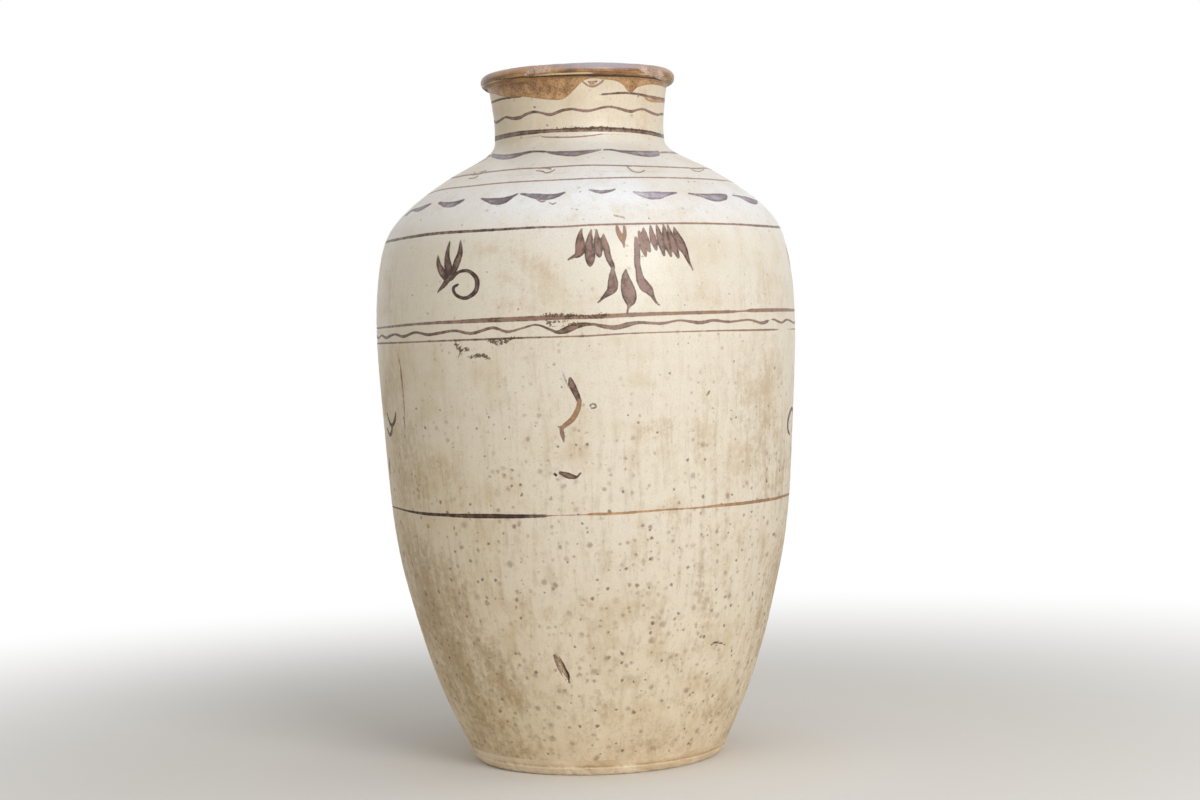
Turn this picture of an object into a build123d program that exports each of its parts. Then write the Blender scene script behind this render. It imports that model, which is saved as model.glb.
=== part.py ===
"""A large stoneware storage jar, put together the way a potter puts it together.

A base slab, three thrown courses of wall, a neck collar and a rolled lip are luted edge to edge.
The rim of each piece has a V-groove that the tongue under the next piece sits in. Coils of soft
clay are smoothed over the seams, inside the body and outside at the neck's root. Millimetres,
+Z up, origin at the centre of the foot's resting face.
"""

from build123d import *
import os

# Foot and belly
foot_radius = 110.0
foot_slope = 0.52
foot_wall = 12.5
base_thickness = 14.0
belly_radius = 187.8
belly_height = 388.0

# Shoulder, neck and lip, each rise counted from the piece below
shoulder_rise = 164.2
neck_radius = 76.6
neck_wall = 8.4
neck_rise = 45.0
neck_flare = 4.2
lip_height = 12.8
lip_fall = 3.6
lip_edge_round = 3.0

# The foot's edge, land and recess, and the groove that the trimming tool left round it
foot_edge_round = 6.5
foot_land = 18.0
foot_recess = 2.5
foot_recess_run = 4.0
foot_groove_height = 8.5
foot_groove_radius = 2.2
foot_groove_depth = 0.7

# Luted joints, at their heights on the outside of the wall
lower_joint_height = 229.0
waist_joint_height = 383.0
joint_depth = 5.0
joint_width_share = 0.6

# Coils smoothed over the joints inside
wall_coil_height = 28.0
wall_coil_depth = 4.0
base_coil_height = 32.0
base_coil_width = 26.0
base_coil_hollow = 5.0

# Coil in the corner outside between the shoulder and the neck, and how far under its top the neck is seated
neck_coil_height = 26.0
neck_seat_drop = 13.0

# Cuts run past what they cut by this much
overrun = 20.0

# Points of the outline: how far up from one end to the other, and how far across, as shares
lower_outline_shares = [(0.16, 0.370), (0.36, 0.675), (0.49, 0.818), (0.64, 0.906), (0.80, 0.956)]
upper_outline_shares = [
    (0.24, 0.020),
    (0.41, 0.064),
    (0.54, 0.150),
    (0.65, 0.307),
    (0.77, 0.550),
    (0.84, 0.728),
    (0.90, 0.884),
    (0.95, 0.972),
]
# Places along the outline, as shares of its length, that the inner curve follows
inner_curve_shares = [0.0, 0.12, 0.25, 0.38, 0.50, 0.60, 0.67, 0.73, 0.79, 0.84, 0.88, 0.92]

neck_foot_height = belly_height + shoulder_rise
neck_seat_height = neck_foot_height - neck_seat_drop
lip_foot_height = neck_foot_height + neck_rise
jar_height = lip_foot_height + lip_height
throat_radius = neck_radius - neck_wall
flared_radius = neck_radius + neck_flare
clear_radius = belly_radius + overrun


def points_between(low, high, shares):
    """Points on the way from one (radius, height) to another, at shares of the rise and the run."""
    return [
        (low[0] + across * (high[0] - low[0]), low[1] + up * (high[1] - low[1])) for up, across in shares
    ]


foot = (foot_radius, 0)
belly = (belly_radius, belly_height)
neck_foot = (neck_radius, neck_foot_height)
throat_foot = (throat_radius, neck_seat_height)
neck_top = (flared_radius, lip_foot_height)
throat_top = (throat_radius, lip_foot_height)

with BuildLine() as outer_line:
    body_curve = Spline(
        foot,
        *points_between(foot, belly, lower_outline_shares),
        belly,
        *points_between(belly, neck_foot, upper_outline_shares),
        neck_foot,
        tangents=[(foot_slope, 1), (0, 1)],
    )
    neck_curve = Spline(
        neck_foot,
        (neck_radius, neck_foot_height + neck_rise / 3),
        neck_top,
        tangents=[(0, 1), (neck_flare, neck_rise / 3)],
    )


def inner_point(share):
    """The point one wall inside the body's outline, square to it, at a share of its length."""
    wall = foot_wall + (neck_wall - foot_wall) * share
    surface, direction = body_curve @ share, body_curve % share
    return surface.X - direction.Y * wall, surface.Y + direction.X * wall


with BuildLine() as inner_line:
    hollow_curve = Spline(
        *[inner_point(share) for share in inner_curve_shares],
        throat_foot,
        tangents=[body_curve % 0, (0, 1)],
    )
    Line(throat_foot, throat_top)

# Half of the jar in section without its hollow, from the axis to the outside, up to the lip
with BuildSketch(Plane.XZ) as outer_section:
    with BuildLine():
        add(outer_line.line)
        Polyline(neck_top, (0, lip_foot_height), (0, 0), foot)
    make_face()

# The wall alone
with BuildSketch(Plane.XZ) as wall_section:
    add(outer_section.sketch_local)
    with BuildLine():
        add(inner_line.line)
        hollow_foot = hollow_curve @ 0
        Polyline(throat_top, (0, lip_foot_height), (0, 0), (hollow_foot.X, 0), hollow_foot)
    make_face(mode=Mode.SUBTRACT)


def wall_at(height):
    """The radii of the wall's inner and outer faces at a height."""
    inner = IntersectingLine((0, height), (1, 0), inner_line.line, mode=Mode.PRIVATE) @ 1
    outer = IntersectingLine((0, height), (1, 0), outer_line.line, mode=Mode.PRIVATE) @ 1
    return inner.X, outer.X


def luted_joint(inner_radius, outer_radius, height):
    """The line of a joint from the axis outwards: level, with a V in the middle of the wall."""
    middle = (inner_radius + outer_radius) / 2
    reach = (outer_radius - inner_radius) * joint_width_share / 2
    valley = (middle, height - joint_depth)
    return [(0, height), (middle - reach, height), valley, (middle + reach, height), (clear_radius, height)]


foot_joint = luted_joint(*wall_at(base_thickness), base_thickness)
lower_joint = luted_joint(*wall_at(lower_joint_height), lower_joint_height)
waist_joint = luted_joint(*wall_at(waist_joint_height), waist_joint_height)
neck_joint = luted_joint(throat_radius, neck_radius, neck_seat_height)
lip_joint = luted_joint(throat_radius, flared_radius, lip_foot_height)

# The neck's coil in section: what the outline holds outside the neck's side and over the bare shoulder
neck_coil_foot = neck_foot_height - neck_coil_height
shoulder_edge = (wall_at(neck_coil_foot)[1], neck_coil_foot)
with BuildSketch(Plane.XZ) as neck_coil_section:
    add(outer_section.sketch_local)
    with BuildLine():
        corner = (neck_radius, neck_seat_height)
        outside = [(clear_radius, neck_coil_foot), (clear_radius, neck_foot_height)]
        Polyline(neck_foot, corner, shoulder_edge, *outside, close=True)
    make_face(mode=Mode.INTERSECT)


def thrown_course(below, above):
    """A ring of the wall between two joints, with a tongue underneath and a groove in its rim."""
    with BuildPart() as course:
        with BuildSketch(Plane.XZ):
            add(wall_section.sketch_local)
            add(neck_coil_section.sketch_local, mode=Mode.SUBTRACT)
            with BuildLine():
                Polyline(*below, *reversed(above), close=True)
            make_face(mode=Mode.INTERSECT)
        revolve(axis=Axis.Z)
    return course


def smoothed_coil(joint_height, coil_height, coil_depth):
    """A strip of clay smoothed over a seam inside, thickest at the seam and thin at its edges."""
    low, high = joint_height - coil_height / 2, joint_height + coil_height / 2
    low_edge, high_edge = (wall_at(low)[0], low), (wall_at(high)[0], high)
    seam_outside = (wall_at(joint_height)[1], joint_height)
    with BuildPart() as coil:
        with BuildSketch(Plane.XZ):
            with BuildLine():
                SagittaArc(low_edge, high_edge, coil_depth)
                Polyline(high_edge, seam_outside, low_edge)
            make_face()
            add(wall_section.sketch_local, mode=Mode.SUBTRACT)
        revolve(axis=Axis.Z)
    return coil


# Base slab: the disc that the jar stands on, hollowed a little underneath so that only a ring rests
recess_radius = foot_radius - foot_land
groove_centre = wall_at(foot_groove_height)[1] + foot_groove_radius - foot_groove_depth
with BuildPart() as base_slab:
    with BuildSketch(Plane.XZ):
        add(outer_section.sketch_local)
        with BuildLine():
            Polyline(*foot_joint, (clear_radius, 0), (0, 0), close=True)
        make_face(mode=Mode.INTERSECT)
        with BuildLine():
            recess_top = (recess_radius - foot_recess_run, foot_recess)
            Polyline((0, 0), (recess_radius, 0), recess_top, (0, foot_recess), close=True)
        make_face(mode=Mode.SUBTRACT)
        with Locations((groove_centre, foot_groove_height)):
            Circle(foot_groove_radius, mode=Mode.SUBTRACT)
    revolve(axis=Axis.Z)
    fillet(edges().filter_by_position(Axis.Z, 0, 0).sort_by(SortBy.RADIUS)[-1], radius=foot_edge_round)
base_slab.part.label = "base_slab"

# Wall courses, each thrown by itself and luted on when it is leather-hard
lower_wall = thrown_course(foot_joint, lower_joint)
lower_wall.part.label = "lower_wall"
belly_wall = thrown_course(lower_joint, waist_joint)
belly_wall.part.label = "belly_wall"
shoulder_wall = thrown_course(waist_joint, neck_joint)
shoulder_wall.part.label = "shoulder_wall"

# Neck collar: straight inside, flared outside under the lip
neck_collar = thrown_course(neck_joint, lip_joint)
neck_collar.part.label = "neck_collar"

# Lip: a thick coil thrown on the neck's rim, rolled outwards and sloping into the mouth
with BuildPart() as rolled_lip:
    with BuildSketch(Plane.XZ):
        with BuildLine():
            roll_radius = lip_height / 2
            crown = (flared_radius, jar_height)
            inner_edge = (throat_radius, jar_height - lip_fall)
            ThreePointArc(neck_top, (flared_radius + roll_radius, jar_height - roll_radius), crown)
            TangentArc(crown, inner_edge, tangent=(-1, 0))
            Polyline(inner_edge, throat_top, *lip_joint[1:-1], neck_top)
        make_face()
    revolve(axis=Axis.Z)
    mouth_edge = edges().filter_by_position(Axis.Z, jar_height - lip_fall, jar_height - lip_fall)
    fillet(mouth_edge, radius=lip_edge_round)
rolled_lip.part.label = "rolled_lip"

# Base coil: fills the corner between the slab and the wall
coil_top = base_thickness + base_coil_height
top_edge = (wall_at(coil_top)[0], coil_top)
corner_radius, outside_radius = wall_at(base_thickness)
floor_edge = (corner_radius - base_coil_width, base_thickness)
with BuildPart() as base_coil:
    with BuildSketch(Plane.XZ):
        with BuildLine():
            SagittaArc(floor_edge, top_edge, -base_coil_hollow)
            Polyline(top_edge, (outside_radius, base_thickness), floor_edge)
        make_face()
        add(wall_section.sketch_local, mode=Mode.SUBTRACT)
    revolve(axis=Axis.Z)
base_coil.part.label = "base_coil"

# Coils over the seams between the courses
lower_coil = smoothed_coil(lower_joint_height, wall_coil_height, wall_coil_depth)
lower_coil.part.label = "lower_coil"
waist_coil = smoothed_coil(waist_joint_height, wall_coil_height, wall_coil_depth)
waist_coil.part.label = "waist_coil"

# Neck coil: pressed into the corner outside and hollowed by the potter's finger
with BuildPart() as neck_coil:
    with BuildSketch(Plane.XZ):
        add(neck_coil_section.sketch_local)
    revolve(axis=Axis.Z)
neck_coil.part.label = "neck_coil"

os.makedirs("parts", exist_ok=True)
for piece in (
    base_slab,
    lower_wall,
    belly_wall,
    shoulder_wall,
    neck_collar,
    rolled_lip,
    base_coil,
    lower_coil,
    waist_coil,
    neck_coil,
):
    export_step(piece.part, f"parts/{piece.part.label}.step")
    print(piece.part.label, round(piece.part.volume), "mm3")
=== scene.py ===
import bmesh
import bpy
import numpy as np
from mathutils import Matrix, Vector


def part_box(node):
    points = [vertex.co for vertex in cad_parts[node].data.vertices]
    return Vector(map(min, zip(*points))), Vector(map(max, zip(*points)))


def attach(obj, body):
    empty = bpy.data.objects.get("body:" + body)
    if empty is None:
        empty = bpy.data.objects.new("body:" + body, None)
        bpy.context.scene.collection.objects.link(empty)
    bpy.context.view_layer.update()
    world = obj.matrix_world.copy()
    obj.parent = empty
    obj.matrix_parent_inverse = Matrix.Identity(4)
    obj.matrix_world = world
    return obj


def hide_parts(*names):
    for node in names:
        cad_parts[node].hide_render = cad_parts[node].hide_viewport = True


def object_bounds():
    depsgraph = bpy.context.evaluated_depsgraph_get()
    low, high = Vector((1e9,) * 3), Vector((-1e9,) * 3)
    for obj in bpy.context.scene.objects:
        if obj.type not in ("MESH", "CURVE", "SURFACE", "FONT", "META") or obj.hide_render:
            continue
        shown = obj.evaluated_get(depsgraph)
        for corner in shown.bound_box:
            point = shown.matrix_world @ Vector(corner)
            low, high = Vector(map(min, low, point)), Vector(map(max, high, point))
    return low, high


# A tall stoneware storage jar: coarse clay under white slip and a clear glaze, with iron-brown
# brushwork and a brown-glazed mouth. Metres, origin at the centre of the foot's resting face.
# Angles run round the jar from its front, -Y, and grow towards +X.
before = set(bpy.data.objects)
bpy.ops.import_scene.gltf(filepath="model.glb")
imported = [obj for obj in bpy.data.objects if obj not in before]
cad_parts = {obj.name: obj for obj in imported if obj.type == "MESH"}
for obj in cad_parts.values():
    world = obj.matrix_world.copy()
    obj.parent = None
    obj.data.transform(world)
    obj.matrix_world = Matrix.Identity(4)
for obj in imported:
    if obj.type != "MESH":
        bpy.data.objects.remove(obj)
cad_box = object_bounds()


# Camera: about two metres in front of the jar and a little above its middle, looking slightly down,
# with the picture leaning a little to one side, as the photograph does.
picture_width = 1200
picture_height = 800
focal_px = 2200
sensor_mm = 36.0
camera_distance = 1.977
camera_height = 0.367
look_down, look_aside, lean = np.radians((1.4333, 0.3148, 1.8733))

eye = np.array((0.0, -camera_distance, camera_height))
level = np.array((np.sin(look_aside), np.cos(look_aside), 0.0))
aside = np.array((np.cos(look_aside), -np.sin(look_aside), 0.0))
zenith = np.array((0.0, 0.0, 1.0))
ahead = np.cos(look_down) * level - np.sin(look_down) * zenith
upward = np.sin(look_down) * level + np.cos(look_down) * zenith
picture_right = np.cos(lean) * aside - np.sin(lean) * upward
picture_up = np.sin(lean) * aside + np.cos(lean) * upward

lens = bpy.data.cameras.new("camera")
lens.sensor_width = sensor_mm
lens.lens = focal_px * sensor_mm / picture_width
camera = bpy.data.objects.new("camera", lens)
stance = np.column_stack((picture_right, picture_up, -ahead, eye))
camera.matrix_world = Matrix(stance.tolist() + [[0, 0, 0, 1]])
bpy.context.scene.collection.objects.link(camera)
bpy.context.scene.camera = camera


# Studio: a pale floor that fades to white, a white surround, a broad lamp on the right in front and
# one overhead. Sky and lamps together show a colour on the jar's front about as it is written.
class Wire:
    """One output of a shader node. Sums and products of wires and numbers add Math nodes."""

    def __init__(self, tree, socket):
        self.tree = tree
        self.socket = socket

    def maths(self, operation, first, second):
        return self.tree.add("Math", {"operation": operation}, {0: first, 1: second})

    def __add__(self, other):
        return self.maths("ADD", self, other)

    def __radd__(self, other):
        return self.maths("ADD", other, self)

    def __sub__(self, other):
        return self.maths("SUBTRACT", self, other)

    def __rsub__(self, other):
        return self.maths("SUBTRACT", other, self)

    def __mul__(self, other):
        return self.maths("MULTIPLY", self, other)

    def __rmul__(self, other):
        return self.maths("MULTIPLY", other, self)

    def larger(self, other):
        return self.maths("MAXIMUM", self, other)

    def smaller(self, other):
        return self.maths("MINIMUM", self, other)

    def size(self):
        return self.maths("ABSOLUTE", self, 0.0)

    def between(self, low, high):
        """Nothing below low, one above high and a smooth rise between them."""
        limits = {"Value": self, "From Min": low, "From Max": high}
        return self.tree.add("MapRange", {"interpolation_type": "SMOOTHSTEP"}, limits)


class Tree:
    """The nodes of a material or a world, emptied and ready for new ones."""

    def __init__(self, owner):
        owner.use_nodes = True
        self.owner = owner
        self.nodes = owner.node_tree.nodes
        self.links = owner.node_tree.links
        self.nodes.clear()

    def add(self, kind, settings=None, inputs=None, output=0):
        """Any node: its settings first, then the values or wires of its inputs. Returns one output."""
        made = self.nodes.new("ShaderNode" + kind)
        for name, value in (settings or {}).items():
            if name == "stops":
                ramp = made.color_ramp.elements
                while len(ramp) < len(value):
                    ramp.new(1.0)
                for stop, (place, colour) in zip(ramp, value):
                    stop.position = place
                    stop.color = colour
            else:
                setattr(made, name, value)
        for name, value in (inputs or {}).items():
            if isinstance(value, Wire):
                self.links.new(value.socket, made.inputs[name])
            else:
                made.inputs[name].default_value = value
        return Wire(self, made.outputs[output]) if made.outputs else None

    def blend(self, share, first, second):
        """The colour on the way from the first to the second by a share."""
        return self.add("Mix", {"data_type": "RGBA"}, {0: share, 6: first, 7: second}, output=2)

    def reading(self, name):
        """A value that the mesh holds at each of its points."""
        return self.add("Attribute", {"attribute_name": name}, output="Fac")

    def noise(self, place, scale, detail, roughness=0.5):
        """Soft noise from 0 to 1 whose lumps are about one over the scale across."""
        inputs = {"Vector": place, "Scale": scale, "Detail": detail, "Roughness": roughness}
        return self.add("TexNoise", None, inputs)

    def shaken(self, place, scale, reach):
        """Places moved about by noise, so that a pattern read at them loses its regular outlines."""
        inputs = {"Vector": place, "Scale": scale, "Detail": 3.0}
        about = self.add("TexNoise", None, inputs, output="Color")
        shift = {0: about, 1: (reach, reach, reach), 2: place}
        return self.add("VectorMath", {"operation": "MULTIPLY_ADD"}, shift)

    def stretched(self, place, across, along):
        """Places to read a pattern at, scaled by one number across the axis and another along it."""
        return self.add("Mapping", None, {"Vector": place, "Scale": (across, across, along)})

    def cells(self, place, scale):
        """How far a place is from the middle of its cell, in a pattern of cells about one over the scale
        across, and the colour that the cell drew by lot."""
        inputs = {"Vector": place, "Scale": scale}
        gap = self.add("TexVoronoi", None, inputs, output="Distance")
        return gap, self.add("TexVoronoi", None, inputs, output="Color")

    def surfaced(self, colour, roughness, relief, strength, depth=0.0006):
        """The material, closed with a surface of a colour and a roughness, and with relief bumped into
        it by a strength at a depth in metres."""
        bump = self.add("Bump", None, {"Strength": strength, "Distance": depth, "Height": relief})
        inputs = {"Base Color": colour, "Roughness": roughness, "Normal": bump}
        surface = self.add("BsdfPrincipled", None, inputs)
        self.add("OutputMaterial", None, {"Surface": surface})
        return self.owner


def tint(red, green, blue):
    """A colour as a picture writes it, 0 to 255, on the linear scale that shaders use: by the standard
    curve, straight near black and a power of 2.4 above."""
    share = np.array((red, green, blue)) / 255
    linear = np.where(share < 0.04, share / 12.92, ((share + 0.055) / 1.055) ** 2.4)
    return (*linear.tolist(), 1.0)


surround_light = 0.475
world = bpy.data.worlds.new("studio")
bpy.context.scene.world = world
sky = Tree(world)
seen = sky.add("LightPath", output="Is Camera Ray")
mirrored = sky.add("LightPath", output="Is Glossy Ray")
looked_through = sky.add("LightPath", output="Is Transmission Ray")
shown_white = seen.larger(mirrored).larger(looked_through)
strength = surround_light + (1 - surround_light) * shown_white
surround = sky.add("Background", None, {"Color": (1, 1, 1, 1), "Strength": strength})
sky.add("OutputWorld", None, {"Surface": surround})

floor_half = 4.0
fade_start = 0.35
fade_end = 1.3
floor_tint = tint(232, 229, 224)
floor_mesh = bpy.data.meshes.new("floor")
corners = [(-1, -1), (1, -1), (1, 1), (-1, 1)]
floor_corners = [(x * floor_half, y * floor_half, 0) for x, y in corners]
floor_mesh.from_pydata(floor_corners, [], [(0, 1, 2, 3)])
floor = bpy.data.objects.new("floor", floor_mesh)
bpy.context.scene.collection.objects.link(floor)

floor_finish = bpy.data.materials.new("pale_floor")
tree = Tree(floor_finish)
place = tree.add("TexCoord", output="Object")
distance = tree.add("VectorMath", {"operation": "LENGTH"}, {0: place}, output="Value")
is_far = distance.between(fade_start, fade_end)
seen = tree.add("LightPath", output="Is Camera Ray")
matt = tree.add("BsdfDiffuse", None, {"Color": floor_tint})
white = tree.add("Emission", None, {"Color": (1, 1, 1, 1), "Strength": 1.0})
faded = tree.add("MixShader", None, {0: is_far * seen, 1: matt, 2: white})
tree.add("OutputMaterial", None, {"Surface": faded})
floor_mesh.materials.append(floor_finish)


def lamp(name, place, aim, size, watts):
    """A square soft lamp at a place, turned towards a point."""
    light = bpy.data.lights.new(name, "AREA")
    light.size = size
    light.energy = watts
    holder = bpy.data.objects.new(name, light)
    direction = Vector(aim) - Vector(place)
    turn = direction.to_track_quat("-Z", "Y").to_matrix().to_4x4()
    holder.matrix_world = Matrix.Translation(place) @ turn
    bpy.context.scene.collection.objects.link(holder)


lamp("front_lamp", place=(1.3, -2.4, 1.3), aim=(0, 0, 0.3), size=1.3, watts=41)
lamp("overhead_lamp", place=(0.35, -0.25, 2.3), aim=(0, 0, 0.4), size=1.2, watts=6)
bpy.context.scene.view_settings.view_transform = "Standard"


# Base slab: a disc of coarse stoneware clay, beaten flat, with a shallow recess underneath so that
# only a ring rests. Its edge was wiped clean of slip before the firing and has crumbled with use.
slab_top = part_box("base_slab")[1].z
seat_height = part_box("shoulder_wall")[1].z
neck_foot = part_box("neck_coil")[1].z
neck_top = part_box("neck_collar")[1].z
belly_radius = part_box("belly_wall")[1].x
foot_slope = 0.52
neck_slope = 0.28
# The outside as (height, radius) from the foot to the lip
outline_points = np.array([
    (0, 0.11), (0.0621, 0.1388), (0.1397, 0.1625), (0.1901, 0.1736), (0.2483, 0.1805), (0.3104, 0.1844),
    (0.388, belly_radius), (0.4274, 0.1856), (0.4553, 0.1807), (0.4767, 0.1711), (0.4947, 0.1537),
    (0.5144, 0.1266), (0.5259, 0.1068), (0.5358, 0.0883), (0.5442, 0.0785), (neck_foot, 0.0766),
    (0.5672, 0.0766), (0.5822, 0.0782), (neck_top, 0.0808),
])


def slopes_through(points, first, last):
    """The slopes at (x, y) points of the smoothest cubic curve through them, with set end slopes.

    Curvature runs on smoothly at each inner point, which gives one linear equation for each."""
    x, y = points.T
    step = np.diff(x)
    count = len(x)
    inner = np.arange(1, count - 1)
    system = np.eye(count)
    system[inner, inner - 1] = 1 / step[:-1]
    system[inner, inner] = 2 / step[:-1] + 2 / step[1:]
    system[inner, inner + 1] = 1 / step[1:]
    rise = np.diff(y) / step**2
    known = np.concatenate(([first], 3 * (rise[:-1] + rise[1:]), [last]))
    return np.linalg.solve(system, known)


outline_slopes = slopes_through(outline_points, foot_slope, neck_slope)


def outside_radius(height):
    """The jar's radius at a height: the cubic between two outline points with their slopes."""
    x, y = outline_points.T
    height = np.clip(height, x[0], x[-1])
    span = np.clip(np.searchsorted(x, height) - 1, 0, len(x) - 2)
    step = x[span + 1] - x[span]
    t = (height - x[span]) / step
    from_points = (1 + 2 * t) * (1 - t) ** 2 * y[span] + t**2 * (3 - 2 * t) * y[span + 1]
    from_slopes = t * (1 - t) ** 2 * outline_slopes[span] - t**2 * (1 - t) * outline_slopes[span + 1]
    return from_points + from_slopes * step


# Columns of every mesh: close together over the painted front, wider apart round the back
column_count = 648
front_angles = np.radians((-52, 46))
front_crowding = 1.3
crowding_sharpness = 12
angle_samples = 4001
tiny = 1e-9


def column_places():
    """Angles round the jar whose spacing is smallest across the front: equal steps of a sum that
    grows faster there."""
    angle = np.linspace(-np.pi, np.pi, angle_samples)
    rise = 1 / (1 + np.exp(-(angle - front_angles[0]) * crowding_sharpness))
    fall = 1 / (1 + np.exp((angle - front_angles[1]) * crowding_sharpness))
    crowd = 1 + front_crowding * rise * fall
    total = np.concatenate(([0], np.cumsum((crowd[1:] + crowd[:-1]) / 2)))
    wanted = np.linspace(0, total[-1], column_count, endpoint=False)
    return np.interp(wanted, total, angle)


angles = column_places()
wave_count = 20


def ripple(places, lump, seed):
    """Smooth noise of about -1 to 1 with lumps of a size: waves in seeded random directions, added."""
    random = np.random.default_rng(seed)
    direction = random.normal(size=(wave_count, 3))
    direction /= np.linalg.norm(direction, axis=1, keepdims=True)
    pace = random.uniform(0.6, 1.4, wave_count) * np.pi / lump
    start = random.uniform(0, 2 * np.pi, wave_count)
    swing = np.sin(places @ (direction * pace[:, None]).T + start)
    return swing.sum(axis=-1) / np.sqrt(2 * wave_count)


def carried_round(section, lift=0.0):
    """Rows of (radius, height) carried round the axis, each moved by lift along the section's normal:
    x = r sin(angle), y = -r cos(angle), z = height."""
    along = np.gradient(section, axis=0)
    along /= np.maximum(np.linalg.norm(along, axis=1, keepdims=True), tiny)
    radius = section[:, :1] + lift * along[:, 1:]
    height = section[:, 1:] - lift * along[:, :1]
    x = radius * np.sin(angles)
    y = -radius * np.cos(angles)
    z = np.broadcast_to(height, x.shape)
    return np.stack((x, y, z), axis=-1)


def angle_of(places):
    """The angle of places round the jar from its front."""
    return np.arctan2(places[..., 0], -places[..., 1])


chart_margin = 0.003
hidden_chart_share = 0.3
pole_gap = 1e-7
sharp_angle = np.radians(38)


def turned(name, shown, lift, closing, finishes, readings=None):
    """A closed skin turned round the axis, in place of a CAD node.

    shown is the part of the section that is finished with finishes[0] and moved by lift. closing holds
    what runs on from it and back to its start, as (rows, number of their finish). readings are values
    for shown's points that the finish reads."""
    blocks = [(shown, 0), *closing]
    rows = np.vstack([block for block, finish in blocks])
    row_finish = np.concatenate([np.full(len(block), finish) for block, finish in blocks])
    skin = carried_round(shown, lift)
    inside = carried_round(rows)[len(shown):]
    places = np.concatenate((skin, inside))
    count = len(rows)

    index = np.arange(count * column_count).reshape(count, column_count)
    right = np.roll(index, -1, axis=1)
    above = np.roll(index, -1, axis=0)
    faces = np.stack((index, right, np.roll(right, -1, axis=0), above), axis=-1).reshape(-1, 4)
    next_finish = np.roll(row_finish, -1)
    face_finish = np.repeat(np.where(next_finish > 0, next_finish, row_finish), column_count)

    mesh = bpy.data.meshes.new(name)
    mesh.vertices.add(index.size)
    mesh.vertices.foreach_set("co", places.ravel())
    mesh.loops.add(faces.size)
    mesh.loops.foreach_set("vertex_index", faces.ravel())
    mesh.polygons.add(len(faces))
    mesh.polygons.foreach_set("loop_start", np.arange(0, faces.size, 4))
    for finish in finishes:
        mesh.materials.append(finish)
    mesh.update(calc_edges=True)
    mesh.polygons.foreach_set("material_index", face_finish)

    # The map for textures: round the jar from left to right, and along the section upwards
    chart_room = 1 - 2 * chart_margin
    round_share = np.append((angles - angles[0]) / (2 * np.pi), 1.0) * chart_room + chart_margin
    closed_rows = np.vstack((rows, rows[:1]))
    step = np.linalg.norm(np.diff(closed_rows, axis=0), axis=1)
    step *= np.where(row_finish > 0, hidden_chart_share, 1.0)
    section_share = np.append(0, np.cumsum(step)) / step.sum() * chart_room + chart_margin
    left, low = np.meshgrid(round_share[:-1], section_share[:-1])
    right_side, high = np.meshgrid(round_share[1:], section_share[1:])
    face_corners = [(left, low), (right_side, low), (right_side, high), (left, high)]
    chart = np.stack([np.stack(corner, axis=-1) for corner in face_corners], axis=2)
    mesh.uv_layers.new(name="OFBake").data.foreach_set("uv", chart.astype(np.float32).ravel())

    for reading, values in (readings or {}).items():
        whole = np.zeros((count, column_count), np.float32)
        whole[: len(shown)] = values
        mesh.attributes.new(reading, "FLOAT", "POINT").data.foreach_set("value", whole.ravel())

    if np.any(rows[:, 0] == 0):
        poles = bmesh.new()
        poles.from_mesh(mesh)
        bmesh.ops.remove_doubles(poles, verts=poles.verts, dist=pole_gap)
        poles.to_mesh(mesh)
        poles.free()
    mesh.shade_smooth()
    mesh.set_sharp_from_angle(angle=sharp_angle)
    piece = bpy.data.objects.new(name + "_piece", mesh)
    bpy.context.scene.collection.objects.link(piece)
    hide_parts(name)
    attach(piece, "root")
    return piece


# Wall thickness falls from the foot to the neck, and the hollow ends in a straight throat
foot_wall, neck_wall = 0.0125, 0.0084
throat_radius = 0.0682
hollow_end = 0.92
wall_samples = 900


def hollow_section():
    """The inside of the wall as (height, radius): the outside moved in, square to itself, by the
    wall's thickness, and then the throat."""
    height = np.linspace(0, neck_foot, wall_samples)
    outside = np.column_stack((outside_radius(height), height))
    along = np.gradient(outside, axis=0)
    run = np.linalg.norm(along, axis=1)
    share = np.cumsum(run) / run.sum()
    along /= run[:, None]
    wall = foot_wall + (neck_wall - foot_wall) * share
    radius = outside[:, 0] - along[:, 1] * wall
    inner_height = outside[:, 1] + along[:, 0] * wall
    kept = share < hollow_end
    height = np.append(inner_height[kept], (seat_height, neck_top))
    return height, np.append(radius[kept], (throat_radius, throat_radius))


hollow_heights, hollow_radii = hollow_section()
joint_depth = 0.005
joint_width_share = 0.6


def hollow_radius(height):
    """The radius of the wall's inner face at a height."""
    return np.interp(height, hollow_heights, hollow_radii)


def joint_line(inner, outer, height):
    """The V in the middle of a luted joint, from the outside inwards, as (radius, height)."""
    middle = (inner + outer) / 2
    reach = (outer - inner) * joint_width_share / 2
    valley = (middle, height - joint_depth)
    return np.array([(middle + reach, height), valley, (middle - reach, height)])


def wall_joint(height):
    """The joint line across the wall at a height."""
    return joint_line(hollow_radius(height), outside_radius(height), height)


clay_tint = tint(238, 219, 187)
burnt_clay_tint = tint(210, 182, 144)
ash_tint = tint(242, 232, 212)
groove_brown_tint = tint(150, 116, 76)
groove_height = 0.0085
groove_width = 0.0016
groove_depth = 0.0009


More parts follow.
